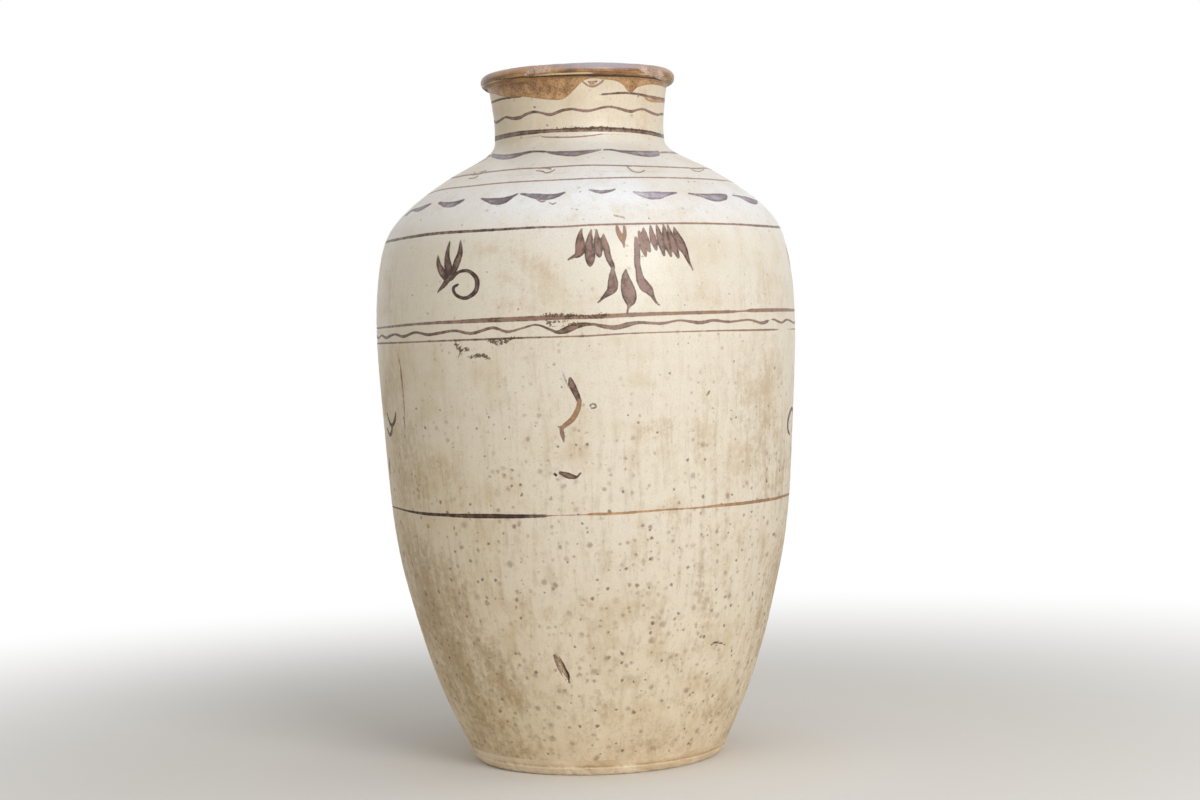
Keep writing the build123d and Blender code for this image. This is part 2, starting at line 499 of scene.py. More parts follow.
def clay_finish():
    """Bare stoneware: mottled buff and brown, gritty, dull, with pale crumbs and open pits, and darker
    brown in the foot's groove."""
    tree = Tree(bpy.data.materials.new("bare_clay"))
    place = tree.add("TexCoord", output="Object")
    height = tree.add("SeparateXYZ", None, {0: place}, output="Z")
    cloud = tree.noise(place, 28, 4, 0.6)
    grit = tree.noise(place, 900, 3, 0.7)
    body = tree.blend(cloud.between(0.35, 0.7), clay_tint, burnt_clay_tint)
    crumbs = tree.blend(grit.between(0.55, 0.7), body, ash_tint)
    pits = tree.noise(place, 420, 2).between(0.64, 0.72)
    pitted = tree.blend(pits, crumbs, burnt_clay_tint)
    # Darker brown along the foot's groove
    from_groove = (height - groove_height).size() + (cloud - 0.5) * 0.003
    in_groove = 1 - from_groove.between(groove_width / 4, groove_width)
    groove_browned = tree.blend(in_groove * cloud.between(0.42, 0.58) * 0.5, pitted, groove_brown_tint)
    wiped = 1 - (height + (cloud - 0.5) * 0.012).between(0.0025, 0.005)
    colour = tree.blend(wiped * grit.between(0.42, 0.58) * 0.6, groove_browned, ash_tint)
    relief = grit * 0.4 + cloud * 0.6 - pits
    return tree.surfaced(colour, roughness=0.82, relief=relief, strength=0.5)


brown_stops = [
    (0.36, tint(78, 54, 36)),
    (0.46, tint(128, 90, 56)),
    (0.55, tint(182, 136, 84)),
    (0.66, tint(206, 170, 114)),
]
# The violet-grey of a painted sheen on the lip's top: the light above reflected there
painted_sheen_tint = tint(170, 160, 168)
# The pale of thin glaze under the lip, lightened there as painted light over its shade
thin_glaze_and_highlight_tint = tint(216, 198, 154)
# A dark crusty brown, partly painted shade under the lip
rim_crust_and_shade_tint = tint(66, 50, 32)
chip_dark_tint = tint(150, 112, 92)
chip_pale_tint = tint(220, 198, 182)


def brown_glaze_finish():
    """Iron-brown glaze: streaked golden and dark round the jar, with a painted violet-grey sheen on the
    lip's top, a pale band under it that is thin glaze with painted light over the shade below the lip,
    dark crusty marks that are partly painted shade under the lip, glossy, with pinholes, and rough
    where it has chipped away."""
    tree = Tree(bpy.data.materials.new("brown_glaze"))
    place = tree.add("TexCoord", output="Object")
    chip, bloom, crust, thin = (tree.reading(name) for name in ("chip", "bloom", "crust", "thin"))
    streak = tree.noise(tree.stretched(place, across=14, along=420), 1.0, 4, 0.6)
    cloud = tree.noise(place, 60, 4, 0.65)
    grain = tree.noise(place, 700, 3, 0.7)
    mixed = streak * 0.5 + cloud * 0.3 + grain * 0.2
    streaked = tree.add("ValToRGB", {"stops": brown_stops}, {0: mixed})
    # Painted sheen: violet-grey on the lip's top, where the glaze reflects the light above
    sheen_share = bloom * (streak * 0.6 + cloud * 0.4).between(0.3, 0.44)
    sheened = tree.blend(sheen_share, streaked, painted_sheen_tint)
    # A pale band under the lip: thin glaze, with painted light over the shade there
    thin_glaze_and_highlight = tree.blend((thin + (streak - 0.5) * 0.9).between(0.4, 0.7), sheened, thin_glaze_and_highlight_tint)
    # Dark crusty marks, partly painted shade under the lip
    crusted_and_shaded = tree.blend((crust + (grain - 0.5) * 1.2).between(0.4, 0.7), thin_glaze_and_highlight, rim_crust_and_shade_tint)
    grit = tree.noise(place, 1300, 2, 0.6)
    clay = tree.blend((grit * 0.6 + cloud * 0.4).between(0.42, 0.58), chip_dark_tint, chip_pale_tint)
    is_chip = (chip + (grain - 0.5) * 0.9 + (cloud - 0.5) * 1.2).between(0.45, 0.62)
    colour = tree.blend(is_chip * 0.85, crusted_and_shaded, clay)
    pin = tree.noise(place, 520, 2).between(0.66, 0.72)
    relief = cloud * 0.5 - pin * 0.8 + is_chip * grain * 0.9
    roughness = 0.26 + is_chip * 0.5 + crust * 0.3 + cloud * 0.12
    return tree.surfaced(colour, roughness, relief, strength=0.45)


bare_clay = clay_finish()
brown_glaze = brown_glaze_finish()

broad_lump, broad_lump_height = 0.075, 0.00028
small_lump, small_lump_height = 0.018, 0.00009
ridge_pitch, ridge_height = 0.0115, 0.00005
lean_heights = (0.0, 0.1, 0.17, 0.26, 0.39, 0.47, 0.54, 0.61)
lean_sizes = (0.0, -0.0003, -0.0007, -0.0001, 0.0003, 0.0007, 0.0001, 0.0)
outline_room = 0.0008


def lift_outside(places):
    """How far the finished outside stands off the smooth one, in metres: low, broad lumps, throwing
    ridges and a slow lean of the courses, and never outwards."""
    height = places[..., 2]
    lumps = broad_lump_height * ripple(places, broad_lump, seed=11)
    lumps += small_lump_height * ripple(places, small_lump, seed=12)
    ridge_phase = height / ridge_pitch * 2 * np.pi + 0.8 * ripple(places, lump=0.12, seed=13)
    ridges = ridge_height * np.sin(ridge_phase)
    drift = np.interp(height, lean_heights, lean_sizes) * np.sin(angle_of(places))
    return np.minimum(lumps + ridges + drift - outline_room, 0.0)


land_edge = 0.092
land_rows = 7
foot_round = 0.0065
foot_round_run = 0.0037


def slab_edge():
    """The foot's outside from the resting ring's inner edge: level, a quarter of an ellipse, then up
    the wall with a shallow groove in it."""
    turn = np.linspace(0, np.pi / 2, 10)
    round_height = foot_round * (1 - np.cos(turn))
    round_radius = outside_radius(round_height) - foot_round_run * (1 - np.sin(turn))
    level_radius = np.linspace(land_edge, round_radius[0], land_rows + 1)[:-1]
    wall_height = np.linspace(foot_round, slab_top, 12)[1:]
    groove = groove_depth * np.exp(-(((wall_height - groove_height) / groove_width) ** 2))
    radius = np.concatenate((level_radius, round_radius, outside_radius(wall_height) - groove))
    height = np.concatenate((np.zeros(land_rows), round_height, wall_height))
    return np.column_stack((radius, height))


def level_rows(start, end, height, count):
    """Rows of (radius, height) from one radius to another at a height."""
    return np.column_stack((np.linspace(start, end, count), np.full(count, height)))


slab_shown = slab_edge()
slab_places = carried_round(slab_shown)
crumble = ripple(slab_places, lump=0.007, seed=3) + 0.6 * ripple(slab_places, lump=0.0025, seed=4)
crumb_depth = 0.0006
resting_share = 0.3
slab_lift = -crumb_depth * np.clip(crumble, 0, 2)
slab_lift[: land_rows + 1] *= resting_share
smoothed_over = 0.004
smoothed = np.clip((slab_places[..., 2] - groove_height) / smoothed_over, 0, 1)
slab_lift += smoothed * (lift_outside(slab_places) - slab_lift)
recess = 0.0025
recess_run = 0.004
floor_rows = level_rows(hollow_radius(slab_top), 0, height=slab_top, count=24)
under_rows = level_rows(0, land_edge - recess_run, height=recess, count=20)
closing = [(wall_joint(slab_top), 1), (floor_rows, 2), (under_rows, 1)]
slab = turned("base_slab", slab_shown, slab_lift, closing, [bare_clay, bare_clay, brown_glaze])


# Lower wall: the first thrown course, luted to the slab with a V-groove and slurry and smoothed over.
# Dipped in white slip and clear glaze with the rest. It is speckled by iron in the clay and soiled,
# with painted shadow low on the left by the foot.
def in_picture(places):
    """Where places in the scene lie in the photograph, in its pixels."""
    sight = places - eye
    depth = sight @ ahead
    across = picture_width / 2 + focal_px * (sight @ picture_right) / depth
    down = picture_height / 2 - focal_px * (sight @ picture_up) / depth
    return np.stack((across, down), axis=-1)


nearest_sight = 1.7
farthest_sight = 2.1
sight_steps = 2000
pixel_size = 0.00085


def on_jar(pixels):
    """The (angle, height) at which the lines of sight through pixels first meet the jar: the first of
    many steps along each line that lies inside the outline."""
    across = (pixels[:, :1] - picture_width / 2) / focal_px * picture_right
    up = (picture_height / 2 - pixels[:, 1:2]) / focal_px * picture_up
    reach = np.linspace(nearest_sight, farthest_sight, sight_steps)
    places = eye + reach[:, None] * (ahead + across + up)[:, None, :]
    gap = np.hypot(places[..., 0], places[..., 1]) - outside_radius(places[..., 2])
    met = np.where((gap < 0).any(axis=1), np.argmax(gap < 0, axis=1), np.argmin(gap, axis=1))
    hit = places[np.arange(len(pixels)), met]
    return np.arctan2(hit[:, 0], -hit[:, 1]), hit[:, 2]


def smooth_path(points, steps=8):
    """More rows on the smooth curve through the given ones (a Catmull-Rom curve in every column): a
    cubic in t from each row to the next, whose slope at a row is half the way between its neighbours."""
    points = np.array(points, float)
    ends = 2 * points[:1] - points[1:2], 2 * points[-1:] - points[-2:-1]
    padded = np.concatenate((ends[0], points, ends[1]))
    a, b, c, d = padded[:-3], padded[1:-2], padded[2:-1], padded[3:]
    t = np.linspace(0, 1, steps, endpoint=False)[:, None, None]
    straight, square, cube = c - a, 2 * a - 5 * b + 4 * c - d, 3 * b - a - 3 * c + d
    curve = b + t * straight / 2 + t**2 * square / 2 + t**3 * cube / 2
    return np.concatenate((np.swapaxes(curve, 0, 1).reshape(-1, points.shape[1]), points[-1:]))


sight_clearance = 0.0005
sight_checks = np.linspace(0.004, 0.3, 75)[:, None]


def in_sight(places):
    """Whether the way from each place to the camera stays outside the jar's outline."""
    way = eye - places
    way /= np.linalg.norm(way, axis=1, keepdims=True)
    points = places[:, None] + sight_checks * way[:, None]
    room = np.hypot(points[..., 0], points[..., 1]) - outside_radius(points[..., 2])
    return (room > -sight_clearance).all(axis=1)


depth_limit = 9.0
stroke_margin = 12
stroke_darkening = 0.2
thin_end_share = 0.6
thin_end_fading = 0.42
warm_tones = (0.0, 1.0)
cool_tones = (1.1, 2.0)


def stroke_depth(places, strokes, turns):
    """Three readings of brush strokes at each place: how deep it lies inside them all, in millimetres
    and below nothing outside them, their tone, and how deep it lies inside the one laid last.

    A stroke is (tone, points): a row of discs joined by straight sides, (across, down, width) in the
    photograph's pixels. A place is looked up where it would lie in the photograph. turns repeats the
    strokes at angles round the jar, in degrees. A tone up to 1 is warm brown and one above it is cool
    violet. A stroke darkens evenly from its start to its end, and warm brown turns golden where the
    stroke runs out thin beside its own broadest place."""
    flat = places.reshape(-1, 3)
    depth = np.full(len(flat), -depth_limit)
    last = np.full(len(flat), -depth_limit)
    tone = np.zeros(len(flat))
    for turn in np.radians(turns):
        x = flat[:, 0] * np.cos(turn) + flat[:, 1] * np.sin(turn)
        y = flat[:, 1] * np.cos(turn) - flat[:, 0] * np.sin(turn)
        seen_from = np.column_stack((x, y, flat[:, 2]))
        front = np.flatnonzero(y < 0)
        pixels = in_picture(seen_from[front])
        for stroke_tone, points in strokes:
            path = smooth_path(points)
            low = path[:, :2].min(axis=0) - stroke_margin
            high = path[:, :2].max(axis=0) + stroke_margin
            close = np.flatnonzero(((pixels > low) & (pixels < high)).all(axis=1))
            close = close[in_sight(seen_from[front[close]])]
            if not len(close):
                continue
            start, step = path[:-1, :2], np.diff(path[:, :2], axis=0)
            offset = pixels[close, None, :] - start
            share = np.clip((offset * step).sum(-1) / np.maximum((step**2).sum(-1), tiny), 0, 1)
            gap = np.linalg.norm(offset - share[..., None] * step, axis=-1)
            half_width = (path[:-1, 2] + share * np.diff(path[:, 2])) / 2
            inside_each = (half_width - gap) * pixel_size * 1000
            nearest = inside_each.argmax(axis=1)
            inside = inside_each.max(axis=1)
            at_nearest = (np.arange(len(close)), nearest)
            along = (nearest + share[at_nearest]) / len(step)
            breadth = half_width[at_nearest] / (path[:, 2].max() / 2 * thin_end_share)
            is_warm = stroke_tone <= 1
            fading = np.clip(1 - breadth, 0, 1) * thin_end_fading * is_warm
            which = front[close]
            laid = (inside > 0) | (inside > depth[which])
            run_tone = stroke_tone + stroke_darkening * (along - 0.5) - fading
            darkened = np.clip(run_tone, *(warm_tones if is_warm else cool_tones))
            depth[which] = np.maximum(depth[which], inside)
            last[which[laid]] = inside[laid]
            tone[which[laid]] = darkened[laid]
    return [reading.reshape(places.shape[:-1]) for reading in (depth, tone, last)]


def painted_line(readings, back=()):
    """A line painted round the jar: its height, half width and tone at every column.

    readings are (across, down, width, tone) in the photograph's pixels, from left to right; back holds
    (degrees, height, width, tone) in metres for the far side, where the photograph shows nothing."""
    path = smooth_path(readings)
    angle, height = on_jar(path)
    rows = np.column_stack((angle, height, path[:, 2] * pixel_size / 2, path[:, 3]))
    if len(back):
        far = smooth_path(back, 6)
        far_rows = np.column_stack((np.radians(far[:, 0]), far[:, 1], far[:, 2] / 2, far[:, 3]))
        rows = np.concatenate((rows, far_rows))
    return [np.interp(angles, rows[:, 0], column, period=2 * np.pi) for column in rows[:, 1:].T]


line_reach = 0.006
no_width = -0.001


def nearest_line(height, lines):
    """For every place the offset from the nearest painted line, its half width, both in millimetres,
    and its tone. Far from any line the width is below nothing."""
    line_height, line_half, line_tone = np.array(lines).transpose(1, 0, 2)[:, :, None, :]
    offset = height - line_height
    nearest = np.argmin(np.abs(offset), axis=0)[None]
    layers = [np.broadcast_to(layer, offset.shape) for layer in (offset, line_half, line_tone)]
    offset, half, tone = [np.take_along_axis(layer, nearest, axis=0)[0] for layer in layers]
    half = np.where(np.abs(offset) > line_reach, no_width, half)
    return offset * 1000, half * 1000, tone


paint_stops = [
    (0.00, tint(184, 132, 64)),
    (0.22, tint(148, 96, 46)),
    (0.40, tint(130, 90, 60)),
    (0.58, tint(136, 102, 93)),
    (0.76, tint(100, 70, 54)),
    (1.00, tint(50, 26, 14)),
]
cool_paint_stops = [
    (0.00, tint(198, 190, 200)),
    (0.30, tint(154, 142, 158)),
    (0.60, tint(106, 90, 94)),
    (1.00, tint(68, 50, 48)),
]
# The slip's colour by height, foot to lip. The stop at 0.80 is the shoulder's whiter slip with a painted
# bluish sheen of the light above; the two lowest are lifted lighter and warmer as painted light thrown
# up from the floor.
slip_and_painted_light_stops = [
    (0.00, tint(232, 211, 178)),
    (0.08, tint(231, 214, 185)),
    (0.30, tint(229, 217, 197)),
    (0.60, tint(229, 220, 202)),
    (0.74, tint(229, 222, 208)),
    (0.80, tint(236, 237, 240)),
    (0.885, tint(223, 219, 211)),
    (0.915, tint(228, 215, 193)),
    (1.00, tint(226, 209, 182)),
]
run_stops = [
    (0.40, tint(84, 66, 42)),
    (0.47, tint(138, 98, 56)),
    (0.52, tint(174, 126, 78)),
    (0.60, tint(200, 162, 116)),
]
jar_height = cad_box[1].z
warm_tint = tint(218, 200, 166)
tan_tint = tint(198, 174, 134)
speck_tint = tint(184, 160, 126)
pale_tint = tint(240, 232, 214)
pinhole_tint = tint(88, 62, 48)
# Crusty colours; the dark one is also painted shade under the lip and along the neck's seam
dark_crust_and_shade_tint = tint(66, 52, 34)
gold_crust_tint = tint(142, 106, 58)
run_edge_tint = tint(150, 96, 52)
broken_dark_tint = tint(160, 130, 100)
broken_pale_tint = tint(212, 190, 160)
broken_rim_tint = tint(130, 100, 76)
dirty_clay_tint = tint(126, 104, 90)
spot_tint = tint(120, 82, 60)
high_stain_tint = tint(182, 144, 84)
# The lower colour of soiling and of the painted shadow by the foot
low_stain_and_shade_tint = tint(146, 113, 62)
grime_tint = tint(166, 144, 108)
# Yellowed glaze, which on the left side is painted warm shade
aged_and_warm_shade_tint = tint(213, 185, 120)
# Two sizes of iron spots: cells to the metre, the lot above which a cell has one, growth and strength
spot_kinds = [(104.0, 0.5, 0.44, 0.62), (160.0, 0.54, 0.46, 0.8)]


def slip_finish():
    """White slip under clear glaze: cream, whiter on the shoulder with a painted bluish sheen there and
    lifted as painted floor light at the foot, clouded, streaked down the sides, speckled with iron,
    yellowed in patches with painted warm shade on the left side, soiled with painted shadow by the foot
    on the left, crusty in places with painted shade under the lip and along the neck's seam, decorated
    in brown, and broken to the clay at its chips."""
    tree = Tree(bpy.data.materials.new("slip_and_glaze"))
    place = tree.add("TexCoord", output="Object")
    height = tree.add("SeparateXYZ", None, {0: place}, output="Z") * (1 / jar_height)

    cloud = tree.noise(place, 11, 4, 0.6)
    patch = tree.noise(place, 34, 4, 0.65)
    mottle = tree.noise(place, 170, 3, 0.6)
    grain = tree.noise(place, 760, 3, 0.7)
    wavering = tree.shaken(place, scale=9, reach=0.02)
    streak = tree.noise(tree.stretched(wavering, across=170, along=11), 1.0, 4, 0.7)
    low_down = 1 - height.between(0.3, 0.7)

    # Slip by height, with a painted sheen on the shoulder and painted floor light at the foot
    slip = tree.add("ValToRGB", {"stops": slip_and_painted_light_stops}, {0: height + (cloud - 0.5) * 0.05})
    warm = tree.blend(cloud.between(0.45, 0.75) * 0.3, slip, warm_tint)
    tan_share = (patch * 0.6 + cloud * 0.4).between(0.46, 0.66)
    tan = tree.blend(tan_share * (0.22 + low_down * 0.3), warm, tan_tint)
    runs = (streak * 0.7 + mottle * 0.3).between(0.46, 0.66)
    grimed = tree.blend(runs * (low_down * 0.28 + 0.07), tan, grime_tint)
    speckled = tree.blend(grain.between(0.5, 0.72) * 0.34, grimed, speck_tint)
    pale = tree.blend(mottle.between(0.5, 0.72) * 0.3, speckled, pale_tint)
    # Yellowing in broad patches; on the left side it is painted warm shade
    aged = tree.blend(tree.reading("aged") * (0.18 + low_down * 0.08), pale, aged_and_warm_shade_tint)

    # Soiling, with painted shadow low on the left by the foot
    stain = tree.reading("stain")
    coarse = (patch - 0.5) * 0.7 + (streak - 0.5) * 0.9
    broken_up = coarse + (mottle - 0.5) * 1.3 + (grain - 0.5) * 0.6
    stain_and_shade_share = (stain + broken_up * stain.between(0.0, 0.2)).between(0.2, 1.2)
    stain_and_shade_tint = tree.blend(low_down, high_stain_tint, low_stain_and_shade_tint)
    stained_and_shaded = tree.blend(stain_and_shade_share * (0.36 + low_down * 0.2), aged, stain_and_shade_tint)

    shaken = tree.shaken(place, scale=380, reach=0.003)
    spotted = stained_and_shaded
    for scale, least, growth, strength in spot_kinds:
        gap, lot = tree.cells(shaken, scale)
        chance = tree.add("SeparateColor", None, {0: lot}, output=0)
        weight = tree.add("SeparateColor", None, {0: lot}, output=1)
        width = (chance - least + low_down * 0.38).larger(0) * growth
        spot = 1 - (gap + (grain - 0.5) * 0.35 - width).between(-0.26, 0.08)
        spotted = tree.blend(spot * (weight * 0.7 + 0.3) * strength, spotted, spot_tint)
    gap, lot = tree.cells(shaken, scale=125.0)
    chance = tree.add("SeparateColor", None, {0: lot}, output=2)
    pinholes = 1 - (gap - (chance - 0.6 + low_down * 0.26) * 0.34).between(-0.07, 0.05)
    flecked = tree.blend(pinholes * 0.7, spotted, pinhole_tint)

    wander = (mottle - 0.5) * 0.5 + (grain - 0.5) * 0.5
    band = tree.reading("band_half") - tree.reading("band").size()
    wave = tree.reading("wave_half") - tree.reading("wave").size()
    depth = band.larger(wave).larger(tree.reading("stroke")) + wander
    is_paint = depth.between(-0.42, 0.2)
    pooled = 1 - depth.smaller(tree.reading("laid") + wander).between(0.1, 2.0)
    coded = tree.reading("tone")
    is_cool = coded.between(1.02, 1.1)
    tone = coded - is_cool
    brushed = (grain - 0.5) * 0.5 + (mottle - 0.5) * 0.95 + (patch - 0.5) * 0.9
    paint_place = tone + pooled * 0.3 - 0.19 + brushed
    warm_paint = tree.add("ValToRGB", {"stops": paint_stops}, {0: paint_place})
    cool_paint = tree.add("ValToRGB", {"stops": cool_paint_stops}, {0: paint_place})
    paint = tree.blend(is_cool, warm_paint, cool_paint)
    cover = is_paint * (0.8 + tone * 0.2 + (mottle - 0.5) * 0.3)
    painted = tree.blend(cover, flecked, paint)

    # Crusty patches; those under the lip and along the neck's seam are partly painted shade
    crumbs = tree.noise(place, 540, 2, 0.6) * 0.65 + mottle * 0.35
    crust = (crumbs + tree.reading("crust") * 0.32).between(0.72, 0.78)
    crust_and_shade_tint = tree.blend(grain.between(0.5, 0.6), dark_crust_and_shade_tint, gold_crust_tint)
    crusted_and_shaded = tree.blend(crust * 0.9, painted, crust_and_shade_tint)

    drip = tree.reading("drip") + wander
    run = drip.between(-0.35, 0.25)
    thin = drip.between(1.0, 9.0) * 0.035
    run_place = patch * 0.3 + mottle * 0.28 + grain * 0.42 + 0.025 - thin
    brown = tree.add("ValToRGB", {"stops": run_stops}, {0: run_place})
    edge = tree.blend((1 - drip.between(0.2, 1.0)) * 0.7, brown, run_edge_tint)
    glazed = tree.blend(run * 0.94, crusted_and_shaded, edge)

    chip = tree.reading("chip") + wander * 2
    is_chip = chip.between(-0.25, 0.2)
    clay = tree.blend(grain.between(0.42, 0.58), broken_dark_tint, broken_pale_tint)
    rimmed = tree.blend(chip.between(0.1, 0.8), broken_rim_tint, clay)
    darkened = tree.blend(stain.between(0.3, 0.8) * 0.7, rimmed, dirty_clay_tint)
    colour = tree.blend(is_chip, glazed, darkened)

    worn = low_down * 0.16 + stain * 0.12 + patch * 0.1
    roughness = 0.31 + worn + is_paint * 0.06 + is_chip * 0.4 + crust * 0.3
    bumps = mottle * 0.35 + grain * 0.12 + patch * 0.5 - pinholes * 0.5
    relief = bumps + is_paint * 0.12 - is_chip * 0.9 + is_chip * grain * 1.2 + crust * 0.7 + run * 0.5
    return tree.surfaced(colour, roughness, relief, strength=0.35)


slip_and_glaze = slip_finish()
row_spacing = 0.0019
fine_spacing = 0.0014
run_samples = 1200


def outside_rows(low, high, spacing):
    """Rows of (radius, height) up the outside between two heights, evenly spaced along it."""
    height = np.linspace(low, high, run_samples)
    radius = outside_radius(height)
    run = np.concatenate(([0], np.cumsum(np.hypot(np.diff(radius), np.diff(height)))))
    count = int(run[-1] / spacing) + 1
    even = np.interp(np.linspace(0, run[-1], count), run, height)
    return np.column_stack((outside_radius(even), even))


def inside_rows(low, high, spacing=0.012):
    """Rows of (radius, height) down the inside between two heights."""
    height = np.linspace(high, low, int((high - low) / spacing) + 2)
    return np.column_stack((hollow_radius(height), height))


def soft_marks(places, marks, softness, turns):
    """A soft value from 0 to 1 round marks laid like brush strokes: it fades over their edges."""
    depth = stroke_depth(places, [(0, points) for points in marks], turns)[0]
    return np.clip(0.5 + depth / softness, 0, 1)


def merged(groups):
    """Of several groups of readings, at each place the one whose first reading, its depth, is most."""
    stack = np.array(groups)
    deepest = np.argmax(stack[:, 0], axis=0)
    return np.take_along_axis(stack, deepest[None, None], axis=0)[0]


def bells(places, middles, spread):
    """The sum of bell curves of the angle round the jar, with middles and a spread in degrees."""
    away = angle_of(places)[..., None] - np.radians(middles)
    nearest = np.angle(np.exp(1j * away))
    return np.exp(-((nearest / np.radians(spread)) ** 2)).sum(axis=-1)


# Yellowing round the jar: the bell at -62 degrees, on the left side, is painted warm shade; the two
# behind are yellowed glaze
aged_and_shade_angles = (-62, 118, 205)
aged_and_shade_spread = 40
crust_and_shade_softness = 4.0
stain_and_shade_softness = 30.0
paint_reach = -0.5


def aged_and_warm_shade_share(places):
    """How far the glaze shows yellow: bells of the angle round the jar, uneven up and down. The bell
    on the left side is painted warm shade.
    """
    uneven = 0.85 + 0.35 * ripple(places, lump=0.11, seed=41)
    return np.clip(bells(places, aged_and_shade_angles, aged_and_shade_spread) * uneven, 0, 1)


def glazed_readings(places, bands=(), waves=(), paint=(), chips=(), crusts=(), stains=()):
    """What slip_and_glaze reads at each place: the offset from the nearest band and wave and their
    half widths, how deep it lies in strokes, in the one laid last and in chips, all in millimetres, the
    paint's tone, and shares of crusty marks (partly painted shade under the lip and along the neck's
    seam), of soiling (with painted shadow by the foot) and of yellowing (painted warm shade on the left
    side). drip, how deep it lies in the mouth's glaze, is set to nowhere. The paint, the chips, the
    crusty marks and the soiling are lists of (strokes, turns)."""
    height = places[..., 2]
    nowhere = np.full(height.shape, -depth_limit)
    nothing = np.zeros(height.shape)
    readings = {"drip": nowhere, "aged": aged_and_warm_shade_share(places)}
    candidates = [(nowhere, nothing)]
    for name, lines in (("band", bands), ("wave", waves)):
        offset, half, tone = nearest_line(height, lines) if lines else (nothing, nowhere, nothing)
        readings[name] = offset
        readings[name + "_half"] = half
        candidates.append((half - np.abs(offset), tone))
    blank = [(nowhere, nothing, nowhere)]
    painted = [stroke_depth(places, group, turns) for group, turns in paint]
    stroke, stroke_tone, last = merged(blank + painted)
    readings["stroke"] = stroke
    readings["laid"] = np.where(stroke > paint_reach, last, depth_limit)
    readings["tone"] = merged(candidates + [(stroke, stroke_tone)])[1]
    chipped = [stroke_depth(places, [(0, points) for points in group], turns) for group, turns in chips]
    readings["chip"] = merged(blank + chipped)[0]
    for name, groups, softness in (("crust", crusts, crust_and_shade_softness), ("stain", stains, stain_and_shade_softness)):
        soft = [soft_marks(places, marks, softness, turns) for marks, turns in groups]
        readings[name] = np.max([nothing] + soft, axis=0)
    return readings


chip_fall = 0.0007


def glazed_piece(name, shown, closing, dents=(), edge=None, **paintwork):
    """A piece with slip and glaze on what shows outside. closing is as turned takes it, with 1 for
    bare clay and 2 for brown glaze.

    dents are (marks, depth, softness, turns), and edge is the height that the mouth's glaze runs to."""
    places = carried_round(shown)
    readings = glazed_readings(places, **paintwork)
    lift = lift_outside(places) - chip_fall * np.clip(readings["chip"] * 0.6 + 0.5, 0, 1)
    for marks, fall, softness, turns in dents:
        lift -= fall * soft_marks(places, marks, softness, turns)
    if edge is not None:
        readings["drip"] = np.clip((places[..., 2] - edge) * 1000, -depth_limit, depth_limit)
    last_finish = max(finish for rows, finish in closing)
    finishes = [slip_and_glaze, bare_clay, brown_glaze][: last_finish + 1]
    piece = turned(name, shown, lift, closing, finishes, readings)


def course_closing(low, high):
    """What runs on from a course's outside between two joints: bare clay over the rim and its groove,
    brown glaze down the inside and bare clay round the tongue back to the start."""
    return [(wall_joint(high), 1), (inside_rows(low, high), 2), (wall_joint(low)[::-1], 1)]


lower_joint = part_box("lower_wall")[1].z
waist_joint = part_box("belly_wall")[1].z

# The lowest painted line, black-brown on the left, worn to gold and almost gone in the middle
lower_line = painted_line(
    [
        (391.9, 506.7, 1.2, 0.8), (408, 511.2, 1.9, 0.9), (426.3, 514, 2.9, 0.96),
        (444.5, 515.1, 3, 0.98), (464.2, 516, 3.8, 1), (492.2, 516.3, 4.3, 1),
        (520.3, 516.5, 3.6, 0.96), (543, 516.1, 2.8, 0.7), (552, 515.8, 0.9, 0.15),
        (584, 514.9, 0.7, 0.1), (592, 514.3, 2.4, 0.2), (612.3, 513.9, 2.2, 0.12),
        (638.7, 512.1, 2, 0.04), (668, 509.8, 1.6, 0.02), (688.5, 508.7, 1.2, 0),
        (701.8, 507.7, 1.7, 0.12), (719.3, 505.8, 2.5, 0.18), (741.3, 503.6, 3, 0.24),
        (763.3, 500.7, 3, 0.26), (778, 498.2, 2.6, 0.22), (790, 494.2, 2.2, 0.25),
    ],
    back=[
        (105, 0.2292, 0.0018, 0.4), (128, 0.2286, 0.0026, 0.75), (150, 0.2293, 0.0031, 0.8),
        (176, 0.2288, 0.0012, 0.25), (200, 0.2292, 0.0024, 0.6), (225, 0.2287, 0.003, 0.8),
        (250, 0.2293, 0.0018, 0.5),
    ],
)

# A gouge low on the front, a shallow nick on the right, and one like it behind
gouge = [(555, 656.5, 1.4), (558.2, 662, 3), (561.6, 669, 4), (565.4, 675.5, 3), (567.8, 680, 1.2)]
gouge_edges = [
    (1, [
        (558.5, 656.8, 0.9), (562.4, 663.5, 1.6), (565, 669, 1.5), (568.2, 675.5, 2.3), (568.6, 682, 1),
    ]),
    (0.62, [
        (553.6, 655.5, 1.2), (555.4, 661.5, 1.7), (558.4, 669, 1.5), (562.2, 676, 1.1), (566, 681, 0.6),
    ]),
]
nick = [(711.5, 644.8, 1.2), (716, 643.2, 1.8), (721, 643.2, 1.8), (725.5, 645, 1.2)]
